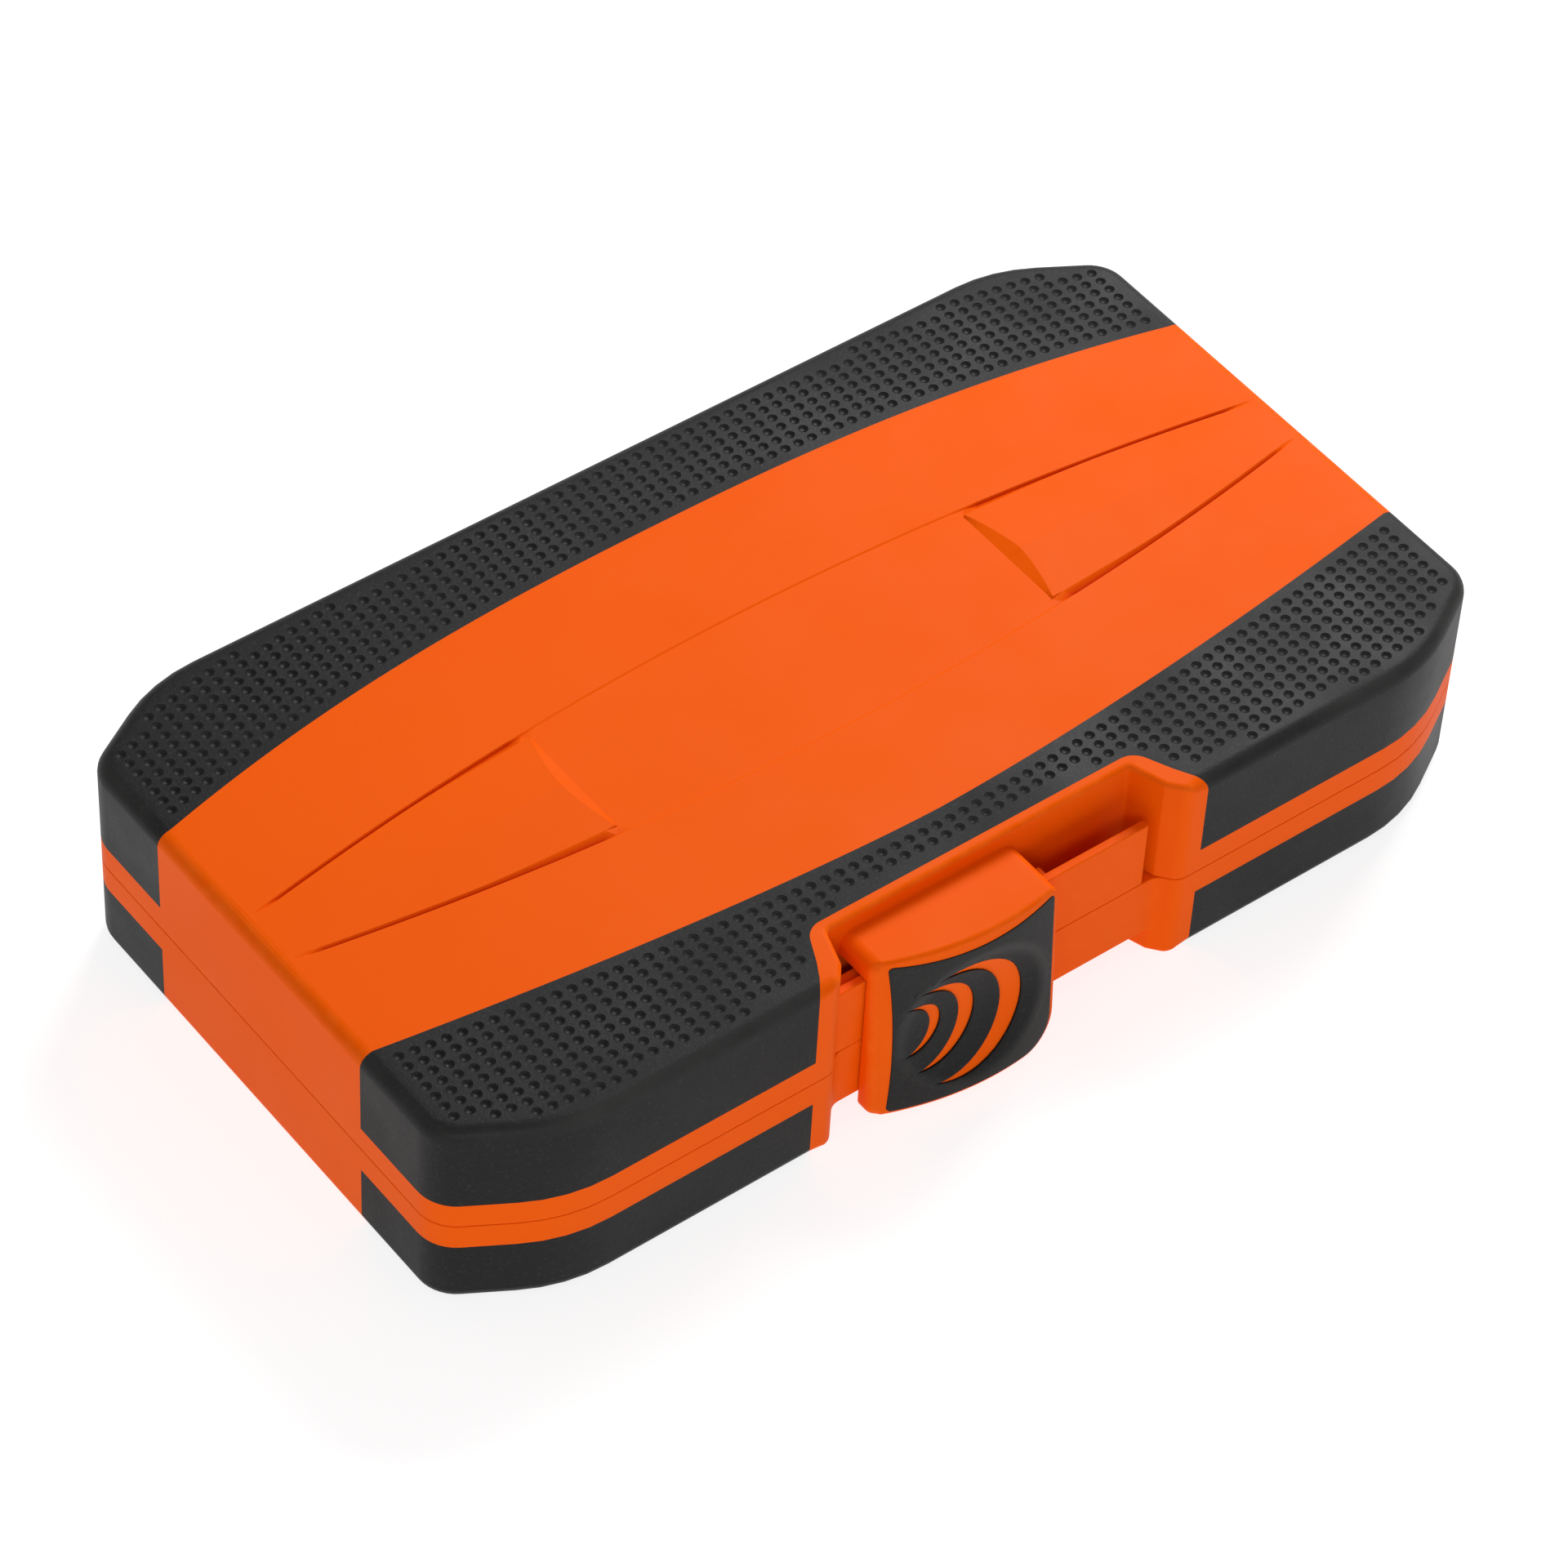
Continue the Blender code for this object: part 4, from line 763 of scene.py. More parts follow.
def cavityPart(skin, isLid):  # the hollow of one half and the lip round it
    edge, wall, bend = halfEdge(isLid), caseShape["wall"], caseShape["roofBend"]
    roof = (caseTop if isLid else 0.0) - caseShape["roof"]
    corners = [(*(Vector((x, y)) - arm * wall), radius - wall) for (x, y, radius), arm in
               zip(plainCorners, outwards([Vector(corner[:2]) for corner in plainCorners]))]
    bulge = [(-recess["bulgeFront"], front + wall, 2.4),
             (-recess["bulgeBack"], recessBack + recess["wall"], 2.0)]  # round the recess
    loop = withMarks(filletPath(corners[:-1] + bulge + mirrored(bulge) + corners[-1:]), [], 8.0)
    arms = outwards(loop)
    count = len(loop)
    turns = [pi / 2 * k / 5 for k in range(6)]
    rows = [(inset, edge + rise) for inset, rise in caseShape["innerLip"]]
    rows += [(bend * (1 - cos(t)), roof - bend * (1 - sin(t))) for t in turns]
    points = [Vector((*(p - a * inset), height)) for inset, height in rows for p, a in zip(loop, arms)]
    _, cap = fillCap([tuple(p) for p in points[-count:]])
    top = len(points) - count
    faces = [f[::-1] for f in rings(len(rows), count)] + [[top + k for k in f[::-1]] for f in cap]
    outer = [tuple(p) for p in skin.points[:skin.count]]
    inner = [tuple(p) for p in points[:count]]
    added, lipFaces = fillCap(outer, [inner + inner[:1]])
    lip = [Vector(p) for p in outer + added]
    kept = []
    for face in lipFaces:
        centre = sum((lip[k] for k in face), Vector()) / 3
        if not inside(centre.x, centre.y, inner):
            kept.append(face[::-1])
    return [(points, faces, [0.2] * len(points)), (lip, kept, [0.3] * len(lip))]


# dimples, set by Geometry Nodes on a curved grid that follows the grips' borders
dimple = {"pitch": 2.38, "rowPitch": 2.15, "firstRow": 2.45, "rows": 14, "width": 1.62, "depth": 0.36,
          "sides": 10, "edgeGap": 0.12, "rimGap": 0.7}
dimpleRadius = dimple["width"] / 2
bowlRings = [(1.0, 0.0), (0.84, -0.42), (0.5, -0.85)]  # radius and height, as shares


def dimplePlaces(label, topLoop):
    isFront = label == 1
    way = -1 if isFront else 1
    places = []
    columns = int(capReach / dimple["pitch"])
    for column in range(-columns, columns + 1):
        x = column * dimple["pitch"]
        for row in range(dimple["rows"]):
            y = way * (arcY(x, isFront) + dimple["firstRow"] + dimple["rowPitch"] * row)
            if not inside(x, y, topLoop) or nearest(x, y, topLoop) < dimpleRadius + dimple["edgeGap"]:
                continue
            atRim = inside(x, y, rimArea) or nearest(x, y, rimPath, False) < dimpleRadius + dimple["rimGap"]
            if not (isFront and atRim):
                places.append((x, y))
    return places


def bowlObject(sides):
    shape = bmesh.new()
    loops = [[shape.verts.new((*p, drop)) for p in circle(0, 0, radius, sides)] for radius, drop in bowlRings]
    pole = shape.verts.new((0, 0, -1.0))
    for k in range(sides):
        after = (k + 1) % sides
        for outer, inner in zip(loops, loops[1:]):
            shape.faces.new((outer[k], outer[after], inner[after], inner[k]))
        shape.faces.new((loops[-1][k], loops[-1][after], pole))
    return objectFrom("dimple bowl", shape)


def instanceTree(name, sizes):  # one object on each point; sizes names the width and the depth inputs
    tree = bpy.data.node_groups.new(name, "GeometryNodeTree")
    tree.interface.new_socket("Geometry", in_out="INPUT", socket_type="NodeSocketGeometry")
    tree.interface.new_socket("Geometry", in_out="OUTPUT", socket_type="NodeSocketGeometry")
    tree.interface.new_socket("Shape", in_out="INPUT", socket_type="NodeSocketObject")
    tree.interface.new_socket("Finish", in_out="INPUT", socket_type="NodeSocketMaterial")
    for label, value in sizes:
        socket = tree.interface.new_socket(label, in_out="INPUT", socket_type="NodeSocketFloat")
        socket.default_value = value
    (width, _), (depth, _) = sizes
    start, end, shape, place, real, finish, scale = (tree.nodes.new(kind) for kind in (
        "NodeGroupInput", "NodeGroupOutput", "GeometryNodeObjectInfo", "GeometryNodeInstanceOnPoints",
        "GeometryNodeRealizeInstances", "GeometryNodeSetMaterial", "ShaderNodeCombineXYZ"))
    for source, output, target, socket in (
            (start, "Shape", shape, "Object"), (start, "Geometry", place, "Points"),
            (shape, "Geometry", place, "Instance"), (start, width, scale, "X"),
            (start, width, scale, "Y"), (start, depth, scale, "Z"), (scale, "Vector", place, "Scale"),
            (place, "Instances", real, "Geometry"), (real, "Geometry", finish, "Geometry"),
            (start, "Finish", finish, "Material"), (finish, "Geometry", end, "Geometry")):
        link(tree, source.outputs[output], target.inputs[socket])
    return tree


def nodesResult(points, tree, values):
    mesh = bpy.data.meshes.new("points")
    mesh.from_pydata([Vector(p) * mm for p in points], [], [])
    item = placed("points", mesh)
    step = item.modifiers.new("nodes", "NODES")
    step.node_group = tree
    for socket in tree.interface.items_tree:
        if socket.in_out == "INPUT" and socket.name in values:
            step[socket.identifier] = values[socket.name]
    result = meshNow(item)
    bpy.data.objects.remove(item)
    return result


dimpleSizes = [("Dimple radius", dimpleRadius * mm), ("Dimple depth", dimple["depth"] * mm)]
dimpleTree = instanceTree("dimples", dimpleSizes)
bowl = bowlObject(dimple["sides"])


def dimpledSkin(skin, label, face):
    topLoop = [p[:2] for p in skin.rim()]
    places = dimplePlaces(label, topLoop)
    rims = [[(*p, face) for p in circle(x, y, dimpleRadius, dimple["sides"])] for x, y in places]
    loop = [(x, y, face) for x, y in topLoop]
    added, faces = fillCap(loop, gripLines(face) + [rim + rim[:1] for rim in rims])
    every = [Vector(p) for p in loop + added]
    columns = {}  # places sorted into strips 4 mm wide, so that near ones are found quickly
    for x, y in places:
        columns.setdefault(int(x // 4), []).append((x, y))
    kept = []
    for triangle in faces:
        centre = sum((every[k] for k in triangle), Vector()) / 3
        cell = int(centre.x // 4)
        close = [place for strip in (cell - 1, cell, cell + 1) for place in columns.get(strip, [])]
        inDimple = any(hypot(centre.x - x, centre.y - y) < dimpleRadius * 0.93 for x, y in close)
        if capLabel(centre.x, centre.y) == label and not inDimple:
            kept.append(triangle)
    bowls = nodesResult([(x, y, face) for x, y in places], dimpleTree,
                        {"Shape": bowl, "Finish": rubber, **dict(dimpleSizes)})
    bowlPoints = [v.co / mm for v in bowls.vertices]
    # painted highlight: each dimple's top rim is painted lighter, standing in for the glints on its rim
    dimpleRimHighlight = [0.9 if 0.01 < face - p.z < 0.2 else 0.0 for p in bowlPoints]
    bowlFaces = [list(p.vertices) for p in bowls.polygons]
    return [(every, kept, [0.0] * len(every)), (bowlPoints, bowlFaces, dimpleRimHighlight)]


rail = {"front": front + 2.65, "thickness": 1.4, "top": 28.4, "bottom": 4.9, "freeEnd": 26.5, "shelf": 1.6,
        "shelfBack": 27.4, "halfLength": 29.0, "lidHalf": 29.7, "baseHalf": 30.0, "shelfEnd": 25.5}
railBack = rail["front"] + rail["thickness"]


def shelfPlan(frontHalf, backHalf):
    return plan((-rail["shelfBack"], recessBack + 0.5, 0), (-rail["halfLength"], railBack - 0.3, 0),
                (frontHalf, railBack - 0.3, 0), (backHalf, recessBack + 0.5, 0))


def lidRailParts():
    low = halfEdge(True)
    plate = plan((-rail["lidHalf"], railBack, 0), (-rail["lidHalf"], rail["front"], 0),
                 (rail["freeEnd"], rail["front"], 0.3), (rail["freeEnd"], railBack, 0.3))
    shelf = shelfPlan(rail["shelfEnd"], rail["shelfEnd"])
    return [roundedPrism(plate, low, rail["top"], 0.22),
            roundedPrism(shelf, low + 0.05, low + rail["shelf"], 0.15)]


def baseRailParts():
    high = -halfEdge(False)
    leftEnd = [(-rail["baseHalf"], railBack, 0), (-31.0, -49.55, 0), (-29.92, -49.72, 0),
               (-rail["halfLength"], rail["front"], 2.6)]  # flares to meet the recess's sides
    plate = plan(*leftEnd, *mirrored(leftEnd))
    shelf = shelfPlan(rail["halfLength"], rail["shelfBack"])
    return [roundedPrism(plate, rail["bottom"], high, 0.18),
            roundedPrism(shelf, high - rail["shelf"], high - 0.05, 0.15)]


lidInside = {"markRadius": 2.3, "markRise": 0.16, "markSides": 28, "ribHeight": 0.55, "ribWidth": 1.3,
             "ribX": 78.0, "ribY": 33.0, "ribLap": 0.3,
             "marks": [(-66, -22), (-66, 22), (0, -24), (0, 24), (66, -22), (66, 22)]}


def lidInsideParts():  # a shallow frame of ribs under the roof
    roof = caseTop - caseShape["roof"]
    low, x, y, w = roof - lidInside["ribHeight"], lidInside["ribX"], lidInside["ribY"], lidInside["ribWidth"]
    lap = lidInside["ribLap"]
    bars = [(-x, -y, x, -y + w), (-x, y - w, x, y), (-x, -y + w - lap, -x + w, y - w + lap),
            (x - w, -y + w - lap, x, y - w + lap)]
    return [roundedPrism(plan((a, b, lap), (c, b, lap), (c, d, lap), (a, d, lap)), low, roof + lap, 0.2)
            for a, b, c, d in bars]


def markObject(sides):  # a flat disc of radius one, one deep, with a soft edge
    disc = roundedPrism(circle(0, 0, 1000, sides), -1000, 1000, 60, 2)
    return meshPiece("ejector mark", [disc], weighted=False)


knuckle = {"station": 52.0, "root": 1.0, "radius": 2.6, "bore": 1.3, "gap": 0.3, "web": 3.8, "stopRadius": 4.2,
           "lug": (340, 368), "lidSpans": [(-4.5, 4.5)], "baseSpans": [(-10.8, -4.8), (4.8, 10.8)]}


pinLow, pinHigh = boxOf("hinge_pin_left")
pinCentre = Vector(((pinLow.y + pinHigh.y) / 2, caseShape["parting"]))


def arcPoints(radius, start, stop, way, step=10):  # round the hinge pin, in degrees
    count = max(1, round(abs(stop - start) / step))
    turns = [radians(start + (stop - start) * k / count) for k in range(count + 1)]
    return [Vector((pinCentre.x + radius * cos(t), pinCentre.y + way * radius * sin(t))) for t in turns]


def knuckleOutline(way):  # seen from the end: y, z
    root = halfWidth - knuckle["root"]
    path = [Vector((root, pinCentre.y + way * knuckle[side])) for side in ("web", "gap")]
    if way < 0:
        return (path + arcPoints(knuckle["radius"], 180, 420, way))[::-1]
    path += arcPoints(knuckle["radius"], 180, 270, way)
    path += arcPoints(knuckle["stopRadius"], *knuckle["lug"], way, 28)  # the lug that stops the lid
    return path + arcPoints(knuckle["radius"], 394, 420, way, 13)


def knuckles(name, way, spans):
    outline = knuckleOutline(way)
    parts = [roundedPrism(outline, side * knuckle["station"] + low, side * knuckle["station"] + high, 0.25)
             for side in (-1, 1) for low, high in spans]
    item = meshPiece(name, parts, sideways, weighted=False)
    bore = roundedPrism(circle(*pinCentre, knuckle["bore"], 28), -80, 80, 0.01, 1)
    booleanWith(item, meshPiece("rod", [bore], sideways, weighted=False), "DIFFERENCE")
    return shaded(item)


# tools and tray: finer copies of the frame's shapes, edges softened
toolEdges = {"tool_tray": 0.22, "ratchet_body": 0.3, "reversing_lever": 0.2, "others": 0.12}
toolAngles = {"flat": 1.0, "softenFrom": 32.0, "sharpFrom": 40.0}
steelTools = ("bit_slotted", "bit_cross", "bit_hex", "hinge_pin", "gear_cover", "pawl")


def toolSlot(node):
    if node == "tool_tray":
        return "dark_plastic"
    return "tool_steel" if node.startswith(steelTools) else "satin_chrome"


def finerCopy(node):
    shape = bmesh.new()
    shape.from_mesh(nodes[node].data)
    bmesh.ops.remove_doubles(shape, verts=shape.verts, dist=exact["copyWeld"] * mm)
    flat = radians(toolAngles["flat"])
    bmesh.ops.dissolve_limit(shape, angle_limit=flat, verts=shape.verts, edges=shape.edges)
    softened(shape, toolEdges.get(node, toolEdges["others"]), toolAngles["softenFrom"], 0.5)
    bmesh.ops.triangulate(shape, faces=[f for f in shape.faces if len(f.verts) > 4])
    bmesh.ops.recalc_face_normals(shape, faces=shape.faces)
    first, *rest = node.split("_")
    title = first + "".join(word.capitalize() for word in rest or ["part"])
    return shaded(objectFrom(title, shape), toolAngles["sharpFrom"])


handle = {"sides": 40, "stations": 150, "ribPitch": 2.4, "ribDepth": 0.4, "ribFrom": 0.5, "ribTo": 0.93,
          "ribFade": 0.02, "tangWidth": 7.6, "tangHeight": 4.6, "tangShort": 19.7,
          "swells": [(0.0, 0.72), (0.008, 0.80), (0.03, 0.92), (0.15, 0.88), (0.4, 0.95), (0.75, 1.0),
                     (0.94, 0.92), (0.985, 0.82), (1.0, 0.62)]}


def swellAt(t):  # how full the handle is at a share of its length
    knots = handle["swells"]
    first = max(k for k in range(len(knots) - 1) if knots[k][0] <= t)
    (a, swellA), (b, swellB) = knots[first], knots[first + 1]
    return swellA + (swellB - swellA) * (t - a) / (b - a)


def handlePart():  # waisted soft grip with ribs round its far half
    low, high = boxOf("ratchet_handle")
    middle, half = (low + high) / 2, (high - low) / 2
    points, count = [], handle["sides"]
    for station in range(handle["stations"] + 1):
        t = station / handle["stations"]
        x = low.x + (high.x - low.x) * t
        ribbed = smooth((t - handle["ribFrom"]) / handle["ribFade"])
        ribbed *= smooth((handle["ribTo"] - t) / handle["ribFade"])
        wave = 0.5 - 0.5 * cos(2 * pi * (x - low.x) / handle["ribPitch"])
        sink = handle["ribDepth"] * ribbed * wave ** 2
        y, z = half.y * swellAt(t) - sink, half.z * swellAt(t) - sink
        points += [Vector((x, middle.y + y * p.x, middle.z + z * p.y)) for p in circle(0, 0, 1, count)]
    faces = rings(handle["stations"] + 1, count)
    faces += [list(range(count))[::-1], list(range(len(points) - count, len(points)))]
    item = meshPiece("ratchetHandle", [(points, faces, [0.2] * len(points))], weighted=False)
    y, z = handle["tangWidth"] / 2, handle["tangHeight"] / 2
    room = boxCutter((low.x - 1, middle.y - y, middle.z - z),
                     (high.x - handle["tangShort"], middle.y + y, middle.z + z))
    booleanWith(item, room, "DIFFERENCE")
    return shaded(item)


# sliding latch: worked lying on its back, x along the case, y up, height towards the front
latch = {"overhang": 2.8, "round": 2.0, "chin": 6.0, "edge": 0.7, "leftEdge": 1.45, "leftReach": 2.2,
         "leftFade": 1.2, "proud": 2.5, "lean": 2.0, "bow": 2.6, "bowShift": 0.3, "sag": 1.3, "cheek": 0.8,
         "padRise": 0.15, "padThickness": 0.9, "padSlack": 0.05, "padEdge": 0.16, "markDepth": 0.15,
         "slack": 0.35, "gridStep": 0.85, "footDepth": 1.8, "footLow": 4.0, "footTop": 0.9, "neckInset": 3.0}
dish = {"x": -7.9, "z": 15.4, "radius": 12.4, "depth": 2.2, "rim": 24.0}
slideMarks = [{"x": -10.6, "z": 15.5, "radius": 11.0, "back": 2.8, "hollow": 10.3},
              {"x": -15.6, "z": 16.4, "radius": 8.1, "back": 2.4, "hollow": 7.9},
              {"x": -18.2, "z": 17.0, "radius": 4.9, "back": 1.7, "hollow": 4.8}]
latchLeft, latchRight = sliderLow.x + latch["overhang"], sliderHigh.x - latch["overhang"]
latchLow, latchTop = sliderLow.z, sliderHigh.z


def latchFace(x, z):
    place = (2 * x - latchLeft - latchRight) / (latchRight - latchLeft)
    lean = latch["lean"] * (latchTop - z) / (latchTop - latchLow)
    away = hypot(x - dish["x"], z - dish["z"]) / dish["radius"]
    hollow = dish["depth"] * log(1 + exp(dish["rim"] * (1 - away * away))) / dish["rim"]
    return halfWidth + latch["proud"] + lean - latch["bow"] * (place - latch["bowShift"]) ** 2 - hollow


def padPath():  # its upper edge sags and its left edge bows inwards
    corners = [(padLow.x, padLow.z, 0.9), (padHigh.x, padLow.z, 5.1), (padHigh.x, padHigh.z, 1.0),
               (padLow.x, padHigh.z, 0.9)]
    path = []
    for p in withMarks(filletPath(corners, 12.0), [], 0.9):
        u = (p.x - padLow.x) / (padHigh.x - padLow.x)
        v = (p.y - padLow.z) / (padHigh.z - padLow.z)
        inwards = latch["cheek"] * 4 * v * (1 - v) * (1 - u)
        path.append(Vector((p.x + inwards, p.y - latch["sag"] * 4 * u * (1 - u) * v)))
    return path


def markPath(mark):  # one crescent: the part of a disc that another disc leaves
    away = mark["back"]
    meet = (mark["radius"] ** 2 - mark["hollow"] ** 2 + away ** 2) / (2 * away)
    rise = sqrt(mark["radius"] ** 2 - meet ** 2)
    outer, inner = atan2(-rise, -meet), atan2(rise, away - meet)
    centre, hollowCentre = Vector((mark["x"], mark["z"])), Vector((mark["x"] - away, mark["z"]))
    turns = [outer * (1 - k / 14) for k in range(29)]
    path = [centre + mark["radius"] * Vector((cos(t), sin(t))) for t in turns]
    turns = [inner * (1 - k / 12) for k in range(1, 24)]
    return path + [hollowCentre + mark["hollow"] * Vector((cos(t), sin(t))) for t in turns]


def latchSkin():
    corners = [(latchLeft, latchLow, latch["round"]), (latchRight, latchLow, latch["chin"]),
               (latchRight, latchTop, latch["round"]), (latchLeft, latchTop, latch["round"])]
    loop = withMarks(filletPath(corners), [], 1.2)
    back = -recessBack - latch["slack"]
    rows = [(0.3, back), (0.0, back + 0.3), (0.0, back + 3.0)]
    rounds = []
    for p in loop:  # the left edge is rounder
        atLeft = smooth((latch["leftReach"] - p.x + latchLeft) / latch["leftFade"])
        rounds.append(latch["edge"] + (latch["leftEdge"] - latch["edge"]) * atLeft)
    skin = sweepSkin(loop, outwards(loop), rounds, rows, latchFace, lambda row, index: 0, None, 7)
    pad = padPath()
    marks = [markPath(mark) for mark in slideMarks]
    lines = [[(p.x, p.y, latchFace(p.x, p.y)) for p in path + path[:1]] for path in [pad] + marks]
    rim = skin.rim()
    points, step = [], latch["gridStep"]
    for column in range(int((latchRight - latchLeft) / step)):  # a grid of points carries the curved face
        for row in range(int((latchTop - latchLow) / step)):
            x, z = latchLeft + column * step + 0.2 * (row % 2), latchLow + row * step
            clear = inside(x, z, rim) and nearest(x, z, rim) >= 0.35
            if clear and min(nearest(x, z, path) for path in [pad] + marks) > 0.3:
                points.append((x, z, latchFace(x, z)))

    def label(x, z):
        if any(inside(x, z, mark) for mark in marks):
            return 2
        return 1 if inside(x, z, pad) else 0

    capSkin(skin, lines, label, points)
    _, closing = fillCap([tuple(p) for p in skin.points[:skin.count]])
    skin.faces += [face[::-1] for face in closing]
    skin.labels += [0] * len(closing)
    for index in range(skin.top + skin.count, len(skin.points)):  # painted highlight: the dish's rim, and the face outside the dish, are painted lighter, standing in for the light the dish catches
        point = skin.points[index]
        away = hypot(point.x - dish["x"], point.y - dish["z"]) / dish["radius"]
        skin.edgeWear[index] = max(exp(-((away - 1) / 0.08) ** 2), 0.4 if away > 1 else 0.0)
    return skin


def boxCutter(low, high):
    shape = bmesh.new()
    bmesh.ops.create_cube(shape, size=1.0)
    middle, size = (Vector(low) + Vector(high)) / 2, Vector(high) - Vector(low)
    for vert in shape.verts:
        vert.co = Vector([middle[k] + vert.co[k] * size[k] for k in range(3)]) * mm
    return objectFrom("cutter", shape)


cameraPlace = {"place": (-0.396890, -0.475802, 0.671250), "heading": 39.783, "dip": 46.835, "roll": 3.462,
               "lens": 142.4653, "sensor": 36.0}
studio = {"floorColour": 0.42, "floorGlow": 0.78, "floorRough": 0.8, "floorSpecular": 0.1, "floorRadius": 3.0,
          "floorDrop": 0.0001, "world": 0.32}
lights = [("key softbox", (0.55, 0.35, 0.65), (0, 0, 0), (0.4, 0.4), 7.2),
          ("front fill", (-0.5, -0.75, 0.55), (0, 0, 0.02), (0.3, 0.3), 1.9),
          ("side strip", (-0.9, -0.35, 0.3), (0, 0, 0.02), (0.3, 0.8), 0.3)]  # place, target, size, watts


def makeCamera():
    turn, dip, roll = (radians(cameraPlace[k]) for k in ("heading", "dip", "roll"))
    ahead = Vector((sin(turn) * cos(dip), cos(turn) * cos(dip), -sin(dip)))
    level = Vector((cos(turn), -sin(turn), 0))
    rise = level.cross(ahead)
    right = level * cos(roll) + rise * sin(roll)
    upward = rise * cos(roll) - level * sin(roll)
    data = bpy.data.cameras.new("camera")
    data.sensor_width = cameraPlace["sensor"]
    data.lens = cameraPlace["lens"]
    data.clip_start = 0.01
    item = placed("camera", data)
    pose = Matrix((right, upward, -ahead)).transposed().to_4x4()
    pose.translation = cameraPlace["place"]
    item.matrix_world = pose
    bpy.context.scene.camera = item


def makeLight(name, place, target, size, power):
    data = bpy.data.lights.new(name, "AREA")
    data.shape = "RECTANGLE"
    data.size, data.size_y = size
    data.energy = power
    item = placed(name, data)
    item.location = place
    item.rotation_mode = "QUATERNION"
    item.rotation_quaternion = (Vector(target) - Vector(place)).to_track_quat("-Z", "Y")


def makeStudio():
    shape = bmesh.new()
    bmesh.ops.create_circle(shape, cap_ends=True, radius=studio["floorRadius"], segments=64)
    floor = objectFrom("floor", shape)
    floor.location.z = -studio["floorDrop"]
    material, _, shader = newMaterial("pale floor")
    shader.inputs["Base Color"].default_value = (*[studio["floorColour"]] * 3, 1)
    shader.inputs["Roughness"].default_value = studio["floorRough"]
    shader.inputs["Specular IOR Level"].default_value = studio["floorSpecular"]
    shader.inputs["Emission Color"].default_value = (1, 1, 1, 1)
    shader.inputs["Emission Strength"].default_value = studio["floorGlow"]
    floor.data.materials.append(material)
    world = bpy.data.worlds.new("studio")
    bpy.context.scene.world = world
    world.use_nodes = True
    sky = world.node_tree.nodes["Background"]
    sky.inputs["Color"].default_value = (1, 1, 1, 1)
    sky.inputs["Strength"].default_value = studio["world"]
    for light in lights:
        makeLight(*light)
    bpy.context.scene.view_settings.view_transform = "Standard"


lidSkin = halfSkin(True)
capSkin(lidSkin, gripLines(caseTop) + panelLines(), capLabel)
for index in range(lidSkin.top + lidSkin.count, len(lidSkin.points)):  # painted shade: points sunk into the grooves get negative values that darken them
    depth = caseTop - lidSkin.points[index].z - panel["strip"]
    lidSkin.edgeWear[index] = -min(1.0, max(0.0, depth - 0.01) / (panel["groove"] - panel["strip"]))
pocket = caseShape["gripThickness"] + caseShape["pocketSlack"]
lidBody = meshPiece("lidBody", [sunkFaces(lidSkin, {1: pocket, 2: pocket})] + cavityPart(lidSkin, True))
lidSharp(lidBody)
finishPiece(lidBody, "lid", "orange_plastic", "lid_shell")

baseSkin = halfSkin(False)
capSkin(baseSkin, gripLines(0.0), capLabel)
baseParts = [sunkFaces(baseSkin, {1: pocket, 2: pocket})] + cavityPart(baseSkin, False)
finishPiece(meshPiece("baseBody", baseParts, flipped), "base", "orange_plastic", "base_shell")
print("shells built")

for body, skin, face, place in (("lid", lidSkin, caseTop, upright), ("base", baseSkin, 0.0, flipped)):
    for label, side in ((1, "front"), (2, "back")):
        backs = inlayFaces(skin, label, caseShape["gripThickness"], 0.0, True)
        parts = [backs] + dimpledSkin(skin, label, face)
        grip = meshPiece(body + "Grip" + side.capitalize(), parts, place)
        finishPiece(grip, body, "black_rubber", body + "_grip_" + side)
bpy.data.objects.remove(bowl)
print("grips built")

finishPiece(meshPiece("lidRail", lidRailParts()), "lid", "orange_plastic")
finishPiece(meshPiece("baseRail", baseRailParts()), "base", "orange_plastic")

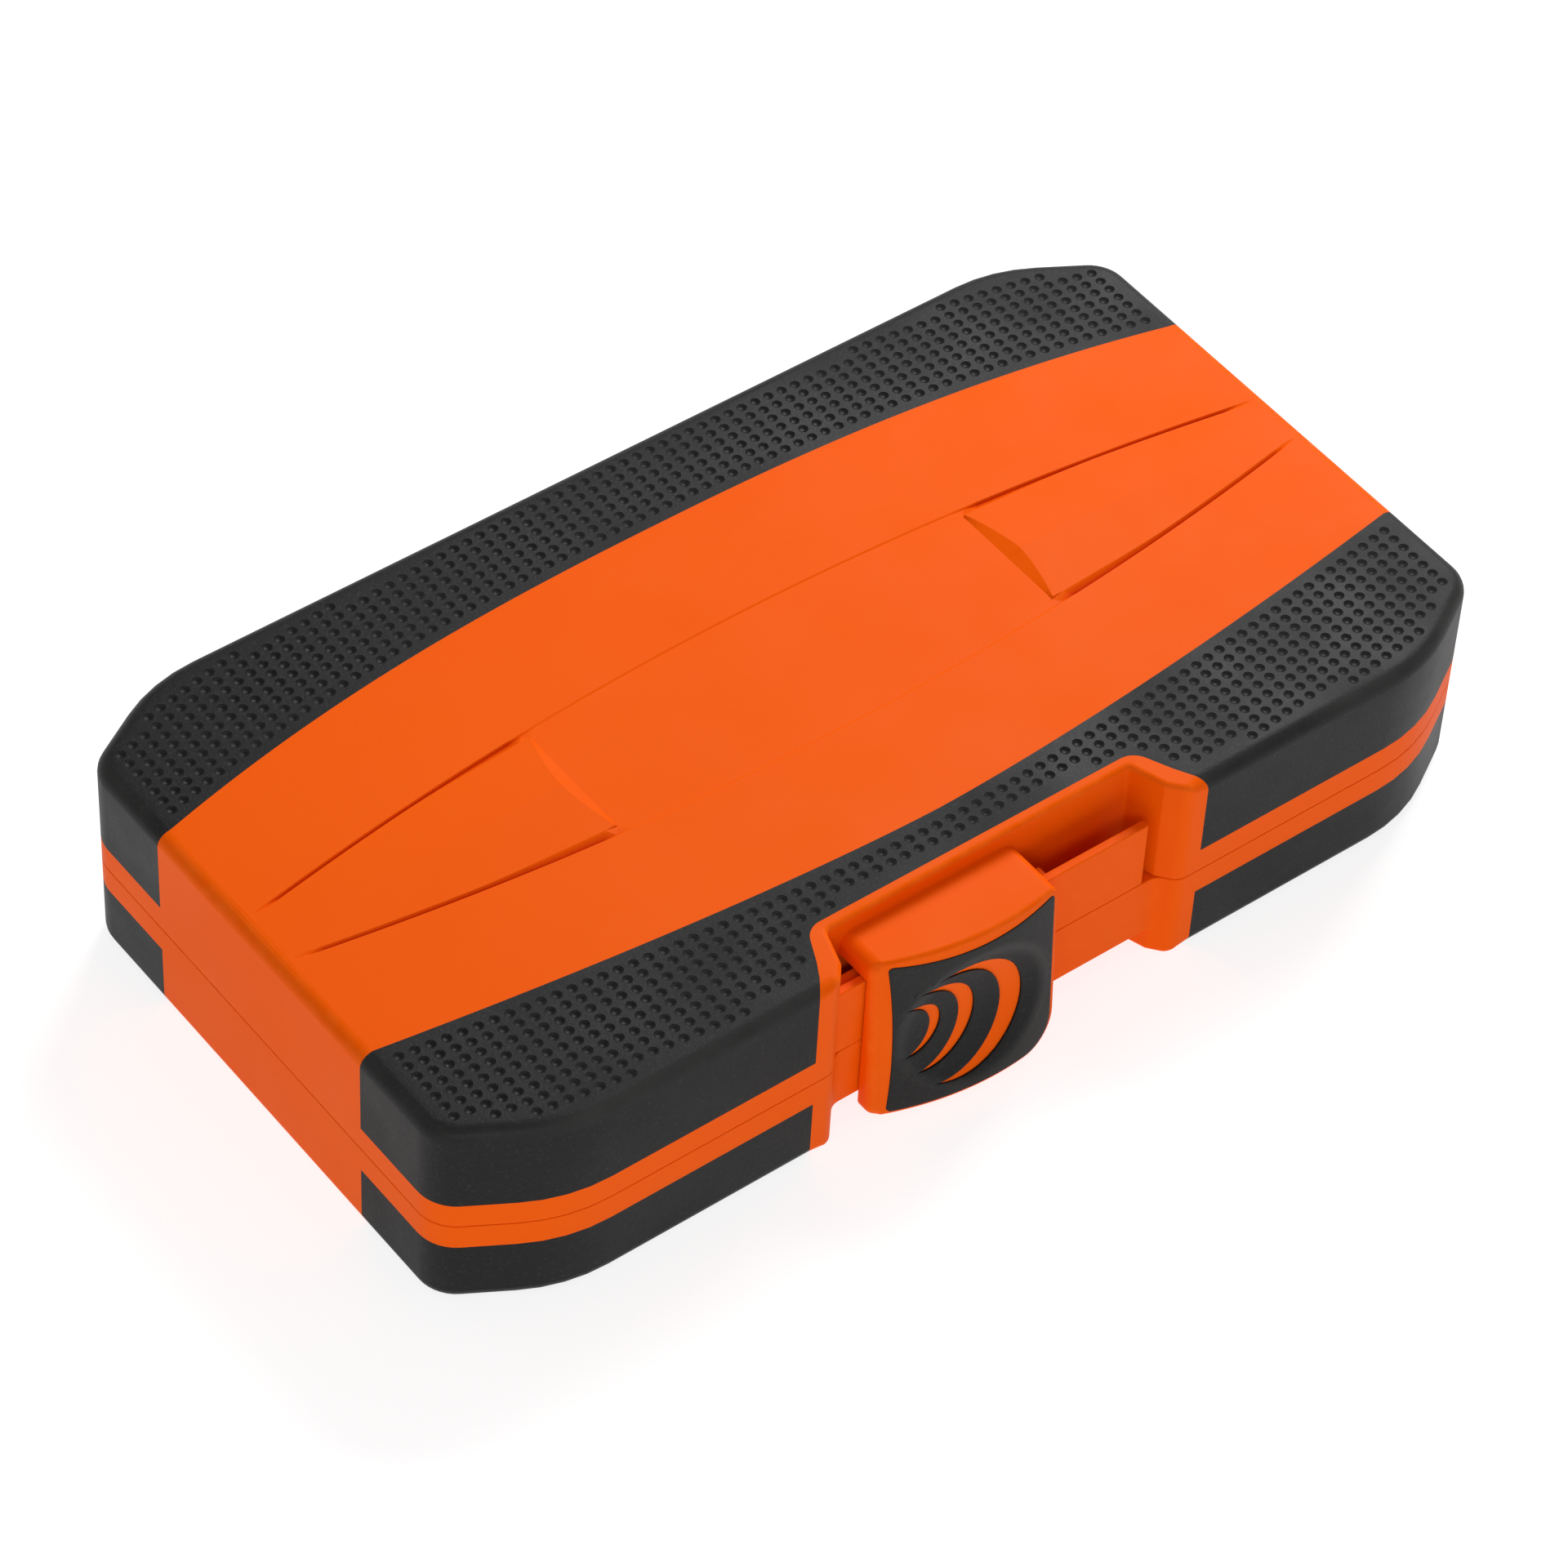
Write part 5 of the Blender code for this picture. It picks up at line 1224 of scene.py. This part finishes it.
slider = latchSkin()
padPocket = latch["padThickness"] + latch["padSlack"]
latchSlider = meshPiece("latchSlider", [sunkFaces(slider, {1: padPocket, 2: latch["markDepth"]})], facing,
                        weighted=False)
railRoom = boxCutter((latchLeft - 9, rail["front"] - latch["slack"], -9),
                     (latchRight + 9, 0, rail["top"] + latch["slack"]))
booleanWith(latchSlider, railRoom, "DIFFERENCE")
footFront = railBack + latch["slack"]


def footBar(name, left, right, low, high, edge):
    footBack = footFront + latch["footDepth"]
    outline = plan((left, footBack, 0.4), (left, footFront, 0.4),
                   (right, footFront, 0.4), (right, footBack, 0.4))
    return meshPiece(name, [roundedPrism(outline, low, high, edge)], weighted=False)


footLow, footTop = rail["top"] - latch["footLow"], rail["top"] - latch["footTop"]
hook = footBar("hook", sliderLow.x, sliderHigh.x, footLow, footTop, 0.2)
neckLeft, neckRight = latchLeft + latch["neckInset"], latchRight - latch["neckInset"]
booleanWith(hook, footBar("stem", neckLeft, neckRight, rail["top"] - 1.6, rail["top"] + 2, 0.1), "UNION")
booleanWith(latchSlider, hook, "UNION")
finishPiece(shaded(latchSlider), "latch", "orange_plastic", "latch_slider")
thumbPad = meshPiece("thumbPad", [inlayFaces(slider, 1, latch["padThickness"], latch["padRise"])], facing,
                     bevel=(latch["padEdge"], 60))
finishPiece(thumbPad, "latch", "black_rubber", "latch_pad")
print("latch built")

disc = markObject(lidInside["markSides"])
markSizes = [("Mark radius", lidInside["markRadius"] * mm), ("Mark rise", lidInside["markRise"] * mm)]
markTree = instanceTree("ejector marks", markSizes)
ceiling = caseTop - caseShape["roof"]
marks = nodesResult([(x, y, ceiling) for x, y in lidInside["marks"]], markTree,
                    {"Shape": disc, "Finish": orange, **dict(markSizes)})
bpy.data.objects.remove(disc)
finishPiece(shaded(placed("lidEjectorMarks", marks)), "lid", "orange_plastic")
finishPiece(meshPiece("lidRibs", lidInsideParts()), "lid", "orange_plastic")
print("lid inside built")

finishPiece(knuckles("lidKnuckles", 1, knuckle["lidSpans"]), "lid", "orange_plastic")
finishPiece(knuckles("baseKnuckles", -1, knuckle["baseSpans"]), "base", "orange_plastic")
print("hinge knuckles built")

finishPiece(handlePart(), "base", "black_rubber", "ratchet_handle")
for node in sorted(set(nodes) - made):
    finishPiece(finerCopy(node), nodes[node]["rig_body"], toolSlot(node), node)
print("tools and tray built")

makeCamera()
makeStudio()
